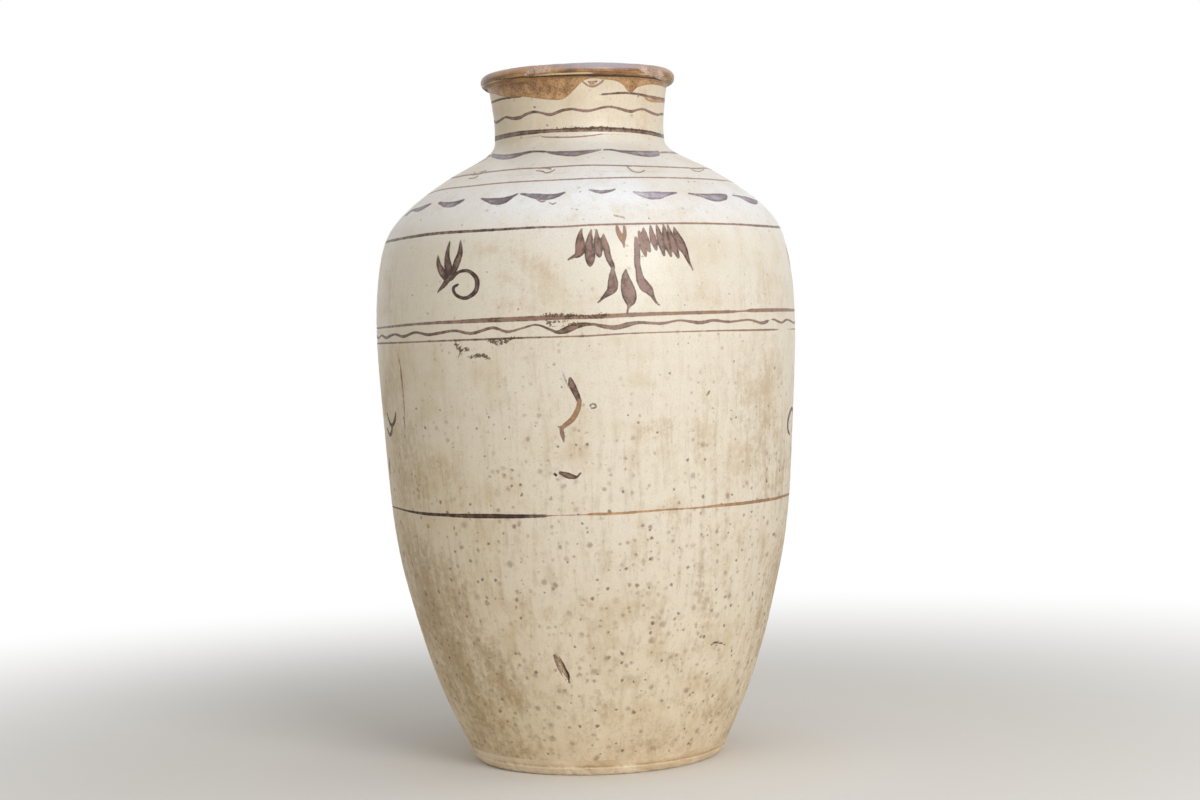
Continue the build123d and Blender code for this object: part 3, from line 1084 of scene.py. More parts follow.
# Soiling low on the jar; the third and the sixth marks, low on the left by the foot, are painted shadow
lower_stains = [
    [(404, 515, 4), (418, 560, 30), (432, 605, 44), (452, 655, 44), (474, 700, 34), (486, 735, 20)],
    [(440, 560, 10), (456, 600, 30), (476, 640, 24), (500, 680, 34), (520, 706, 14)],
    [(482, 742, 14), (505, 754, 18), (540, 752, 8)],
    [(684, 704, 4), (706, 714, 14), (732, 704, 12)],
    [(700, 560, 4), (705, 600, 10), (700, 650, 5)],
    [(466, 712, 10), (476, 738, 20), (486, 757, 18), (504, 766, 10)],
    [(598, 700, 5), (604, 708, 7)],
    [(640, 742, 5), (668, 745, 7)],
]
glazed_piece(
    "lower_wall",
    shown=outside_rows(slab_top, lower_joint, row_spacing),
    closing=course_closing(slab_top, lower_joint),
    dents=[([gouge], 0.0012, 3.0, (0,)), ([nick], 0.0004, 2.0, (0, 170))],
    bands=[lower_line],
    paint=[(gouge_edges, (0,)), ([(0.8, nick)], (0, 170))],
    chips=[([gouge], (0,))],
    stains=[(lower_stains, (0, 150, 252))],
)


# Belly wall: the second thrown course, luted to the first along the lowest painted line. It carries
# the few brush strokes of the broad lower band and half of the painted band at the jar's waist.
waist_top_line = painted_line(
    [
        (377.3, 328.1, 1.7, 0.6), (404, 325.2, 2.2, 0.55), (426, 323.4, 2.4, 0.55),
        (462.7, 321.5, 3.4, 0.6), (492, 320.1, 4.2, 0.6), (536, 318.3, 4.4, 0.62),
        (565.4, 317.4, 3.8, 0.6), (590, 316.8, 3.8, 0.55), (626.6, 315, 4, 0.5),
        (669.5, 313.4, 3.2, 0.4), (723, 311.9, 3, 0.4), (743, 311.1, 1.2, 0.35),
        (753.7, 310.4, 3.4, 0.45), (784.3, 309.9, 3.2, 0.45), (795, 310.2, 2.4, 0.45),
    ],
    back=[
        (110, 0.3914, 0.0022, 0.45), (145, 0.3908, 0.0034, 0.55), (180, 0.3912, 0.0024, 0.45),
        (215, 0.3905, 0.0032, 0.6), (250, 0.39, 0.0018, 0.55),
    ],
)
waist_low_line = painted_line(
    [
        (377.3, 343.5, 1.6, 0.7), (404, 342.5, 1.5, 0.6), (448, 340.6, 1.5, 0.6),
        (492, 339.1, 1.8, 0.75), (528.7, 337.7, 1.5, 0.6), (565.4, 336.6, 1.3, 0.3),
        (590, 335.8, 1.6, 0.45), (626.6, 333.6, 1.2, 0.4), (677, 331.8, 1, 0.3), (723, 330.6, 1.2, 0.3),
        (753.7, 330.1, 1.7, 0.4), (776, 329.6, 1.4, 0.3), (781, 329.4, -1, 0.1), (795, 329, 1.2, 0.3),
    ],
    back=[
        (110, 0.375, 0.0014, 0.4), (145, 0.3746, 0.001, 0.6), (180, 0.3752, 0.0015, 0.5),
        (215, 0.3747, 0.0011, 0.6), (250, 0.3745, 0.0014, 0.6),
    ],
)
waist_wave = painted_line(
    [
        (377.6, 338.4, 2, 0.75), (380.5, 335.5, 1.8, 0.75), (385.2, 337.7, 3, 0.75),
        (393.7, 334.4, 2, 0.75), (402.5, 336.6, 2.8, 0.75), (414.3, 332.5, 2.2, 0.75),
        (427.5, 334.7, 2.7, 0.75), (440, 332.8, 2.6, 0.7), (453.9, 330.8, 2.4, 0.7),
        (471.5, 333.3, 2.8, 0.7), (492, 327.8, 2.7, 0.7), (506.7, 331.8, 2.5, 0.65),
        (521.4, 328.4, 1.7, 0.5), (536, 324.8, 1.7, 0.7), (549.2, 329.3, 2.4, 0.7),
        (557, 332.2, 3.2, 0.8), (567, 329.6, 7, 0.8), (579.5, 325.2, 5, 0.75), (592, 324.2, 2.4, 0.65),
        (603.7, 326.4, 3.6, 0.62), (616, 327.5, 4.4, 0.6), (628.2, 324.6, 4.6, 0.6),
        (640.4, 322.5, 2.6, 0.55), (661.8, 323.4, 2.7, 0.5), (680.2, 320.4, 1.9, 0.5),
        (700, 322.6, 3.2, 0.55), (713.9, 320.3, 2.6, 0.55), (729.2, 321.8, 2.2, 0.55),
        (749, 319.8, 1.8, 0.4), (761.3, 322.9, 2.8, 0.5), (767.5, 321.4, 3, 0.55),
        (770.5, 320.2, -1, 0.4), (774.3, 319.4, 2, 0.6), (782, 322.6, 2.2, 0.6), (787.4, 319.6, 2, 0.6),
        (794.2, 322.9, 2, 0.6),
    ],
    back=[
        (degrees, 0.3816 + 0.0019 * (-1) ** beat, 0.0018 + 0.0006 * (beat % 3), 0.55 + 0.05 * (beat % 4))
        for beat, degrees in enumerate(range(92, 274, 9))
    ],
)
# Brush strokes below the waist band: three in the photograph, and two that it cuts off at the sides
bracket = [
    (1.15, [(562, 371, 0.8), (565, 379, 1.4), (568.5, 388, 0.8)]),
    (0.7, [(570, 378.8, 3.2), (572.4, 386, 6.4), (576.6, 395, 5.8), (579.4, 402, 4)]),
    (0.36, [
        (579.6, 401, 4.2), (578, 409, 5), (572.5, 419, 5.4), (564.8, 425.4, 4.4), (561.3, 428.4, 3.2),
    ]),
    (0.6, [(561, 427.5, 3.4), (562.2, 434, 4.2), (563.8, 442, 1.4)]),
]
ring_mark = [
    (1.6, [
        (590, 405, 1.2), (593.5, 403.8, 1.6), (596.5, 406.2, 1.4), (593, 408.5, 1.6), (590, 406.5, 1.2),
    ]),
    (0.1, [(706.8, 396.2, 1), (708.6, 393.4, 2), (710.2, 390.4, 0.8)]),
]
dark_mark = [
    (1, [(554.5, 474.2, 2.6), (556, 475.4, 2.4)]),
    (0.8, [(560, 473, 3), (567, 475.4, 5.6), (573, 477, 4.4), (577, 477.4, 2)]),
    (0.6, [(578, 476, 1.6), (580.6, 473.2, 1.8)]),
]
hooks = [
    (0.9, [(574, 410, 2), (570, 418, 5), (559, 424.5, 3.6), (549, 422, 3.8), (541, 413, 3)]),
    (0.9, [(559, 424.5, 2), (554, 432, 5), (544, 435.5, 3.6), (534, 429, 3)]),
    (0.85, [(533, 461, 2.4), (528, 470, 6), (526, 480, 2)]),
]
curl = [
    (0.9, [
        (674, 433, 2), (669, 424, 4), (658, 419, 3.6), (645, 420, 4.4), (634, 427.5, 6.4),
        (630, 435, 6.4), (633, 442, 4.6), (645, 447, 2),
    ]),
    (0.85, [(655, 455, 2), (660, 463, 5), (662, 473, 2)]),
]
hooks_turn = -61
curl_turn = 62
belly_crusts = [
    [(453, 341, 4), (457, 347, 6), (460, 352, 5), (458, 358, 3)],
    [(457, 347, 5), (465, 349, 6), (473, 350, 3)],
    [(468, 357, 4), (478, 355.5, 6), (486, 357, 6), (492, 359, 3)],
    [(488, 341, 5), (499, 341.5, 8), (508, 339.5, 6), (516, 337.5, 3)],
]
belly_stains = [
    [(742, 345, 6), (745, 372, 18), (752, 396, 32), (768, 372, 32), (772, 352, 16)],
    [(770, 420, 16), (782, 450, 14), (775, 490, 8)],
    [(699, 420, 4), (698, 450, 7), (696, 470, 4)],
    [(396, 350, 2), (399, 380, 3), (403, 434, 2)],
    [(390, 350, 3), (394, 420, 12), (402, 470, 12), (410, 505, 6)],
    [(500, 375, 4), (503, 379, 6)],
    [(640, 430, 6), (670, 425, 12)],
]
crease = [(395.4, 350, 0.4), (398.9, 365, 0.9), (400.4, 378, 1.3), (402.6, 399, 0.9), (404, 435, 0.4)]
glazed_piece(
    "belly_wall",
    shown=outside_rows(lower_joint, waist_joint, fine_spacing),
    closing=course_closing(lower_joint, waist_joint),
    dents=[([crease], 0.0005, 2.4, (0, 205))],
    bands=[lower_line, waist_low_line, waist_top_line],
    waves=[waist_wave],
    paint=[
        (bracket, (0, 118, 182)),
        (ring_mark, (0,)),
        (dark_mark, (0,)),
        (hooks, (hooks_turn,)),
        (curl, (curl_turn,)),
        (bracket, (-108,)),
        ([(0.35, crease)], (0, 205)),
    ],
    crusts=[(belly_crusts, (0, 160))],
    stains=[(belly_stains, (0, 118, 236))],
)


# Shoulder wall: the third thrown course, drawn in to the neck. It has the richest painting: a line
# round its widest part, crescents, two fine lines, crescents again, and leaves that hang from a line.
shoulder_line = painted_line(
    [
        (389.8, 240, 2.6, 0.8), (410, 236.4, 2.8, 0.8), (436, 232.9, 2.8, 0.8),
        (486.6, 229.8, 2.5, 0.8), (534.3, 227, 2, 0.6), (562.4, 226.2, 1.7, 0.35),
        (590, 224.5, 1.7, 0.3), (632, 223.5, 1.7, 0.35), (688, 223, 1.7, 0.35), (730, 223.8, 1.7, 0.35),
        (758.4, 225.5, 2.1, 0.55), (780.8, 227.3, 2.3, 0.6),
    ],
    back=[
        (105, 0.465, 0.0016, 0.6), (140, 0.4645, 0.0013, 0.4), (175, 0.4655, 0.0018, 0.6),
        (210, 0.465, 0.0022, 0.75), (245, 0.4642, 0.0024, 0.8),
    ],
)
fine_low_line = painted_line(
    [
        (429.1, 192.2, 1.3, 0.35), (443, 188.4, 1.2, 0.3), (471.2, 185.2, 1.2, 0.35),
        (506.3, 181.7, 1.2, 0.3), (548.4, 179.2, 1.1, 0.3), (590, 177.5, 1.2, 0.35),
        (632, 176.8, 1.1, 0.3), (674.2, 177.2, 1.2, 0.3), (702.3, 178.2, 1.2, 0.35),
        (727.5, 180.3, 1.1, 0.3),
    ],
    back=[
        (110, 0.5064, 0.001, 0.3), (150, 0.5058, 0.0011, 0.35), (200, 0.5066, 0.001, 0.3),
        (240, 0.506, 0.0011, 0.35),
    ],
)
fine_high_line = painted_line(
    [
        (443.1, 178.9, 2, 0.4), (458.6, 175.4, 1.8, 0.4), (488, 171.2, 1.3, 0.35),
        (520.3, 167.7, 1.3, 0.35), (535.7, 167, 1.2, 0.3), (562.4, 165.3, 1.3, 0.35),
        (590, 164.2, 1.3, 0.35), (625, 164.9, 1.3, 0.35), (649, 165.6, 1.2, 0.3), (688, 167, 1.3, 0.4),
        (706.5, 167.7, 1.2, 0.35),
    ],
    back=[
        (110, 0.519, 0.0011, 0.35), (150, 0.5196, 0.001, 0.3), (200, 0.5188, 0.0012, 0.4),
        (240, 0.5194, 0.0012, 0.4),
    ],
)
# Crescents between the shoulder's line and the fine lines, and then those above the fine lines
left_crescents = [
    (1.55, [
        (404.6, 214.7, 1.3), (410.9, 209.6, 1.8), (415.8, 209, 3.6), (420.7, 207.4, 3.2),
        (429.8, 202.8, 1.2),
    ]),
    (1.62, [
        (438.2, 202, 2), (444.5, 203.9, 5.2), (451.6, 203.7, 5.2), (458.6, 201.4, 2.8),
        (463.8, 198.8, 1.2),
    ]),
    (1.7, [
        (481, 198, 1.6), (486, 199.2, 3.4), (491, 200.4, 5.8), (498, 200.6, 7), (505, 199.2, 5.5),
        (512, 195.7, 2.5), (517.5, 193, 1.2),
    ]),
    (1.66, [
        (520.3, 192.9, 1.4), (527.3, 194.1, 3), (535.7, 195.3, 5.5), (545.6, 196, 6), (555.4, 194.8, 4),
        (565.2, 191.3, 1.2),
    ]),
    (1.45, [
        (589, 189, 1.3), (594.7, 190.2, 2.4), (601.2, 190.9, 3.2), (609.6, 190.2, 2.2),
        (615, 188.5, 1.2),
    ]),
    (1.4, [
        (633.5, 191.3, 1.4), (640.5, 193.2, 4), (650.3, 194.8, 7.5), (660.2, 194.8, 7),
        (668.6, 193.2, 3.5), (677, 192, 1.3),
    ]),
]
right_crescents = [
    (1.5, [
        (688.9, 192.9, 1.3), (699.4, 194.3, 2.6), (709.3, 196.2, 6), (717.7, 197, 8),
        (724.5, 196.6, 6.5),
    ]),
    (1.55, [(733, 194.6, 1.3), (741.5, 196.4, 2.2), (748.6, 199.3, 4.5), (755.6, 202, 4.5)]),
]
high_crescents = [
    (1.55, [(468, 163, 1.4), (474, 159, 1.4), (481, 156.6, 1.6), (488.7, 154.9, 2)]),
    (1.68, [
        (492.5, 154.8, 3.4), (498.5, 155.8, 4.6), (504.8, 156, 4.8), (514.2, 154.6, 4),
        (523.6, 152.3, 2.5), (533, 150.6, 1.7), (545, 150.6, 1.5),
    ]),
    (1.62, [
        (600.6, 148.8, 1.2), (594.6, 149.9, 2.2), (583.8, 151.4, 4), (574.5, 152.6, 5.3),
        (563.7, 152.6, 4.6), (553, 151.9, 3), (546.5, 150.9, 1.6),
    ]),
    (1.6, [
        (657.5, 152.4, 5.4), (650.8, 153, 6), (641.4, 152.5, 5), (630.7, 151.4, 3.6), (620, 150.1, 2),
        (612, 148.9, 1.5), (604, 148.8, 1.3),
    ]),
    (1.52, [(661.5, 151.5, 1.7), (668.2, 151.4, 1.6), (680, 152.8, 1.7), (691, 156.2, 1.5)]),
]
# Leaves hanging from the shoulder's line, from left to right, and a sprig with a curl beside them
leaves = [
    (0.85, [
        (581.7, 228.3, 1.2), (580.2, 234.8, 5), (580.2, 243.1, 9.5), (580, 250.5, 9.5), (577, 255.1, 5),
        (572.4, 256.6, 2.5), (567.8, 259.8, 1.2),
    ]),
    (0.85, [
        (591.3, 228.9, 1.2), (590, 236.6, 5), (589, 245.9, 8), (590, 255.1, 10.5), (590.2, 261.6, 7.5),
        (590.2, 265.8, 2),
    ]),
    (0.8, [
        (596.5, 229.2, 1.5), (597, 236.6, 5), (597.9, 245.9, 8), (599.2, 253.3, 6), (599.8, 256.5, 2),
    ]),
    (0.8, [
        (603.5, 233.9, 1.5), (603.9, 240.3, 6), (606.4, 247.7, 6.5), (608.5, 257, 6), (612, 264.4, 5),
        (613.5, 268.5, 3.5),
    ]),
    (0.85, [
        (613.1, 268.5, 3), (612.7, 275.5, 7), (613.1, 283.8, 10.5), (612, 289.4, 9), (606.6, 294.4, 5),
        (602, 298.6, 2.4), (597.9, 302.9, 1.2),
    ]),
    (0.4, [
        (616.8, 225.2, 2), (618.3, 231.1, 4.5), (621.4, 237.6, 5), (623.8, 243.1, 3),
        (624.2, 247.7, 1.2),
    ]),
    (0.35, [(624.2, 225.5, 2), (625.1, 232, 3.5), (624.6, 239.4, 3)]),
    (0.9, [
        (626, 269.6, 1.4), (625.7, 276.4, 7), (627, 284.7, 12), (629.2, 293.1, 14.5),
        (630.5, 299.5, 11.5), (629.7, 304.5, 5), (628.3, 308.8, 2.2), (627, 314.3, 1.4),
    ]),
    (0.8, [
        (635.7, 236.6, 2), (636.8, 244, 5), (637.5, 253.3, 6), (637.5, 262.5, 6.2), (638.8, 269.9, 6),
        (640.8, 279.2, 8.5), (645, 286.2, 10.5), (649.2, 290, 8.5), (652.9, 296, 3.8),
        (656.6, 302.3, 2.2), (660.6, 305.6, 1.2),
    ]),
    (0.7, [(639, 231.1, 2), (640.8, 238.5, 4.5), (643.6, 247.7, 5.5), (646, 255.6, 2.6)]),
    (0.72, [(643.6, 227.8, 1.5), (644.5, 234.8, 6), (647.3, 244, 6.5), (650.1, 251, 2.6)]),
    (0.72, [(650.5, 225.2, 1.5), (651.9, 232.9, 5), (654.2, 241.3, 6), (656.6, 249.2, 2.6)]),
    (0.75, [(656.6, 224.6, 1.5), (659, 232.9, 5), (661.2, 242.2, 6.5), (664.5, 254.8, 2.6)]),
    (0.75, [(663.4, 223.7, 1.5), (665.3, 232.9, 5), (667.7, 244, 6.5), (671.4, 255.6, 2.6)]),
    (0.75, [(667.7, 224.6, 1.5), (670.4, 233.9, 5), (674.1, 245.9, 7), (678.7, 256.6, 3)]),
    (0.8, [
        (674.1, 227, 1.2), (676.9, 234.8, 6), (681.5, 244, 8.2), (686.1, 253.3, 5.5),
        (689.8, 262.5, 2.4), (693.5, 269.9, 1.2),
    ]),
]
sprig = [
    (0.9, [(437, 255, 1.2), (438, 264, 4.5), (441, 272, 6.5), (445, 280, 3)]),
    (0.95, [(449, 241, 1.2), (446.5, 255, 4.5), (447.5, 267, 7.5), (448.5, 279, 3.5)]),
    (0.9, [(460, 240, 1.2), (459.5, 252, 5), (455.5, 264, 6.5), (450.5, 277, 3.5)]),
    (0.95, [(449, 277, 5), (443.5, 284.5, 4.5), (437, 292, 1.4)]),
    (0.95, [
        (450, 279, 3.6), (458, 272, 2.8), (468, 271, 3.4), (476, 279, 4.6), (475, 291, 4.4),
        (465, 298, 3.6), (455.5, 295, 3), (452.5, 288, 2.8), (457, 284.5, 2.4),
    ]),
]
# Scars where another pot stood on the shoulder in the kiln, with brown rims
spur_marks = [
    [(471, 175.5, 2.4), (475, 174.2, 5), (481, 171.8, 2.6)],
    [(538, 168.6, 2), (545, 169.4, 4), (553.5, 168.2, 1.8)],
    [(629, 166.2, 1.6), (634, 168.6, 3.4), (641, 169.6, 2.6)],
    [(691, 166.6, 1.6), (697, 168.2, 3.4), (702, 168.8, 2)],
]
spur_rims = [
    (0.35, [(468.5, 177.6, 1), (473, 176.8, 1.3), (477, 175, 1)]),
    (0.3, [(473.5, 171.6, 0.9), (476.5, 173, 1.2), (481, 171, 1), (486, 169.8, 0.9)]),
    (0.35, [
        (536, 169.4, 0.9), (541.5, 169.6, 1.3), (546, 171.4, 1.4), (551, 170.4, 1.2), (554.5, 168, 0.9),
    ]),
    (0.28, [(539, 167.2, 0.9), (545, 166.6, 1.2), (551, 167.6, 0.9)]),
    (0.3, [(627, 165.4, 1), (630, 168, 1.2), (634, 170.6, 1.2), (640, 171.4, 1.1), (645, 169.6, 0.9)]),
    (0.28, [(690, 167.2, 1), (695, 169.8, 1.3), (700, 170.4, 1.1), (704, 168.8, 0.9)]),
    (0.3, [(536.5, 198.6, 1), (541, 200.6, 1.5), (545, 200, 1.2)]),
    (0.3, [(548.5, 201.4, 1), (552.5, 203.2, 1.4), (556, 201.8, 1)]),
]
limb_leaf = [
    (0.85, [(652, 242, 2), (652, 249, 8), (655, 257, 9), (659, 267, 2)]),
    (0.85, [(667, 267, 2), (665, 276, 9), (667, 285, 10), (671, 295, 2)]),
]
limb_leaf_turn = 62
pale_dash = (0.1, [(613.9, 214.7, 1.2), (619, 216, 1.4), (624.4, 216.5, 1.2)])
shoulder_crusts = [
    [(540, 316, 3), (552, 315, 6), (570, 315.5, 6), (586, 316.5, 4), (600, 315.5, 6), (620, 315, 3)],
    [(546, 322, 3), (556, 329, 7), (566, 329.5, 10), (575, 326, 9), (584, 324, 4)],
    [(546, 321, 3), (556, 322, 4), (566, 321.5, 3)],
    [(486, 320.5, 2), (491, 320, 5), (497, 319.5, 2)],
]
shoulder_stains = [
    [(488, 248, 8), (512, 252, 10), (528, 262, 18), (544, 274, 26), (546, 292, 20)],
    [(500, 306, 10), (515, 304, 12), (530, 308, 8)],
    [(498, 276, 8), (520, 284, 12)],
    [(556, 288, 8), (570, 296, 8)],
    [(744, 290, 3), (744, 343, 6)],
    [(394, 292, 5), (397, 303, 8), (393, 314, 5)],
    [(760, 262, 6), (765, 285, 12), (758, 300, 8)],
    [(700, 290, 8), (716, 304, 14)],
]
high_crescents_round = [(high_crescents, (0,)), (high_crescents[2:4], (96, 146, -164, -115))]
leaf_turns = (0, 138, -112)
spur_turns = (0, 140, 220)
# The coil outside reaches as far below the neck's seat as above it
coil_foot = 2 * seat_height - neck_foot
neck_radius = outside_radius(neck_foot)
neck_joint = joint_line(throat_radius, neck_radius, seat_height)
seat_corner = np.array([(neck_radius, seat_height)])
hidden_reach = 0.0016
hidden_corner = seat_corner - (hidden_reach, 0)
glazed_piece(
    "shoulder_wall",
    shown=outside_rows(waist_joint, coil_foot, fine_spacing),
    closing=[
        (np.concatenate((seat_corner, neck_joint)), 1),
        (inside_rows(waist_joint, seat_height), 2),
        (wall_joint(waist_joint)[::-1], 1),
    ],
    dents=[(spur_marks, 0.0005, 1.6, spur_turns)],
    bands=[waist_top_line, shoulder_line, fine_low_line, fine_high_line],
    waves=[waist_wave],
    paint=[
        (left_crescents, (0,)),
        (left_crescents[1:], (128, -126)),
        (right_crescents, (0,)),
        *high_crescents_round,
        (leaves, leaf_turns),
        (sprig, leaf_turns),
        (limb_leaf, (limb_leaf_turn,)),
        ([pale_dash], (0,)),
        (spur_rims, spur_turns),
    ],
    crusts=[(shoulder_crusts, (0, 150))],
    stains=[(shoulder_stains, (0, 127, 240))],
)


# Neck coil: a rope of clay pressed into the corner outside between the shoulder and the neck and
# hollowed with a finger. It wears the same slip and glaze, with a brown line round its top.
foot_line = painted_line(
    [
        (493.7, 138.6, 4.4, 0.8), (507, 135.4, 4.6, 0.8), (520.3, 133.2, 4.4, 0.78),
        (534, 131.9, 4, 0.72), (548, 131, 3.2, 0.68), (577, 130.2, 2.8, 0.7), (604, 130, 2.8, 0.72),
        (630.7, 130.8, 3, 0.72), (646, 132.2, 3.6, 0.75), (656, 134, 3.9, 0.75),
        (664.4, 136.2, 3.6, 0.75),
    ],
    back=[
        (105, 0.5516, 0.0034, 0.75), (140, 0.5522, 0.003, 0.7), (180, 0.5515, 0.0034, 0.75),
        (220, 0.5521, 0.0032, 0.7), (255, 0.5524, 0.0035, 0.75),
    ],
)
pale_line = painted_line(
    [
        (540, 135.6, 0.3, 0.3), (545, 136.8, 1, 0.35), (570, 136.8, 1.1, 0.35), (590, 135.4, 1, 0.35),
        (599, 134.2, 0.9, 0.3), (604, 133.8, 0.2, 0.3),
    ],
    back=[(60, 0.548, -0.001, 0.3), (180, 0.548, -0.001, 0.3), (300, 0.548, -0.001, 0.3)],
)
# Crusty marks along the top of the coil's line, dark partly as painted shade of the coil's edge
neck_crusts = [
    [
        (538, 129.8, 2), (556, 128.8, 4), (578, 128.2, 4.6), (598, 127.8, 5.4), (618, 128.6, 4.6),
        (642, 130.4, 4),
    ],
    [(495, 138, 1), (515, 134.5, 2)],
]
seam_shadow = [
    (0.9, [
        (536, 130.4, 0.5), (548, 129.6, 1.1), (558, 129.2, 0.8), (566, 128.6, 1.5), (577, 128.2, 1),
    ]),
    (1, [(577, 128.2, 1.1), (588, 128.2, 1.7), (600, 127.6, 1.5), (612, 128, 1.9), (622, 128.4, 1.1)]),
    (0.95, [(622, 128.4, 1.2), (632, 129.4, 1.8), (642, 130.2, 1.2), (652, 131.8, 1.6), (660, 134, 1)]),
]
seam_turns = (0, 150, -140)
coil_spacing = 0.0008
glazed_piece(
    "neck_coil",
    shown=outside_rows(coil_foot, neck_foot, coil_spacing),
    closing=[(hidden_corner, 1)],
    bands=[foot_line],
    waves=[pale_line],
    paint=[*high_crescents_round, (seam_shadow, seam_turns)],
    crusts=[(neck_crusts, seam_turns)],
)


# Neck collar: a short thrown ring, seated in a groove on the shoulder inside the coil. The brown glaze
# of the mouth runs down it in an uneven edge, over a painted line and a wavy one.
neck_line = painted_line(
    [
        (490.8, 102.6, 1.9, 0.7), (502.1, 98.8, 1.8, 0.7), (520.3, 96.6, 1.4, 0.7), (528, 96, -2, 0.5),
        (595, 95, -2, 0.5), (600.6, 94.6, 1.4, 0.7), (610.6, 93.7, 1.8, 0.72), (624, 92.9, 1.9, 0.72),
        (637.4, 94, 1.9, 0.65), (648.1, 96.2, 2.5, 0.62), (657.5, 98.3, 3.2, 0.65),
        (664.2, 99.4, 3, 0.65),
    ],
    back=[
        (110, 0.5848, 0.0016, 0.8), (150, 0.5843, 0.0018, 0.8), (185, 0.585, 0.0008, 0.6),
        (215, 0.5844, 0.0016, 0.8), (250, 0.5846, 0.0016, 0.75),
    ],
)
neck_wave = painted_line(
    [
        (495.4, 122.7, 2.6, 0.75), (498.8, 120.7, 2.6, 0.75), (504.8, 117.3, 2, 0.72),
        (511.5, 118.4, 3, 0.72), (518.9, 117.7, 3.4, 0.72), (524.9, 114.6, 2.9, 0.7),
        (532.9, 112, 2.3, 0.66), (539.6, 112.6, 2.2, 0.62), (549, 114.6, 2.9, 0.62),
        (555.7, 112.9, 3, 0.62), (562.4, 110.4, 2.6, 0.6), (571.8, 109, 2.2, 0.6),
        (578.5, 110.2, 2.5, 0.6), (586.5, 110.9, 2.7, 0.6), (594.5, 109.7, 2.2, 0.6),
        (603.9, 107.3, 2, 0.58), (612, 106.9, 1.9, 0.58), (618.7, 108.3, 2.5, 0.6),
        (626.7, 110.6, 2.8, 0.6), (632.7, 111.3, 2.8, 0.6), (638.7, 109.7, 2.2, 0.58),
        (644.1, 109.3, 2.2, 0.58), (650.8, 112, 2.6, 0.6), (657.5, 114.6, 2.4, 0.6),
        (663, 114, 2.2, 0.6),
    ],
    back=[
        (degrees, 0.5693 + 0.0018 * (-1) ** beat, 0.0024, 0.6)
        for beat, degrees in enumerate(range(88, 276, 13))
    ],
)
# The edge of the mouth's glaze: (across, down) in the photograph, and (degrees, height) for the back
edge_points = [
    (494.1, 93.9), (501.5, 96.4), (510.2, 97.2), (520.9, 96.6), (530.3, 97.5), (545, 99.2), (557, 99.9),
    (563.7, 98.6), (569.1, 94.6), (575.8, 87.9), (581.2, 82.5), (586, 79.5), (594, 78.2), (602.6, 79.4),
    (612, 80.1), (618.7, 81.8), (624, 85.2), (626.8, 89.2), (629.4, 91.6), (632.7, 92.3), (635.4, 89.9),
    (638.7, 87.2), (645.4, 85.2), (653.5, 84.5), (661.5, 85.8), (667.5, 88.4),
]
edge_back = [
    (100, 0.59), (120, 0.586), (138, 0.5835), (155, 0.5862), (170, 0.5912), (186, 0.5925), (200, 0.588),
    (214, 0.5838), (236, 0.583), (253, 0.5862), (266, 0.5932), (276, 0.5942),
]
glaze_edge = painted_line(
    [(*point, 1, 0) for point in edge_points], back=[(*point, 0.001, 0) for point in edge_back]
)[0]
orange_smudge = (0.1, [(646.5, 98.2, 1.6), (652.1, 100.8, 2.6), (658.5, 100.8, 3.2), (664, 101.6, 2.4)])
glaze_loop = (0.22, [
    (583, 82, 1.2), (587.8, 85.2, 1.8), (593.2, 86.4, 2.2), (598.6, 84.4, 1.8), (603.6, 80.6, 1.4),
])
bubble = [[(588.5, 82, 1.6), (592, 83.2, 3.2), (596.5, 81.6, 2)]]
# Dark crusty marks under the lip and round the neck's top, partly painted shade under the lip
rim_crusts = [
    [(496, 80, 2), (520, 77.5, 2.4), (545, 76.4, 2.6)],
    [(545, 76.4, 2.6), (580, 75.4, 2.4), (600, 76, 3.4), (632, 77.2, 3), (660, 80.6, 3)],
    [(500, 86, 1.5), (515, 84, 2.4), (528, 82, 1.5)],
]
rim_turns = (0, 155, -150)
neck_stains = [
    [(641, 88, 8), (646, 101, 14), (647, 116, 12), (645, 128, 6)],
    [(607, 108, 4), (611, 118, 10), (609, 128, 8)],
]
neck_spacing = 0.0006
throat_spacing = 0.004
flared_radius = outside_radius(neck_top)
lip_joint = joint_line(throat_radius, flared_radius, neck_top)
glazed_piece(
    "neck_collar",
    shown=outside_rows(neck_foot, neck_top, neck_spacing),
    closing=[
        (lip_joint, 1),
        (inside_rows(seat_height, neck_top, throat_spacing), 2),
        (np.concatenate((neck_joint[::-1], hidden_corner)), 1),
    ],
    edge=glaze_edge,
    bands=[foot_line, neck_line],
    waves=[neck_wave],
    paint=[([orange_smudge, glaze_loop], (0, 160)), (seam_shadow, seam_turns)],
    chips=[(bubble, (0,))],
    crusts=[(neck_crusts, seam_turns), (rim_crusts, rim_turns)],
    stains=[(neck_stains, (0, 130, -125))],
)


# Rolled lip: a thick coil thrown on the neck's rim and rolled outwards, dipped in iron-brown glaze.
# Its glaze carries a painted violet-grey sheen on top, and has flaked off the edge where lids and
# ladles knocked.
roll_radius = 0.0064
lip_fall = 0.0036
mouth_round = 0.003


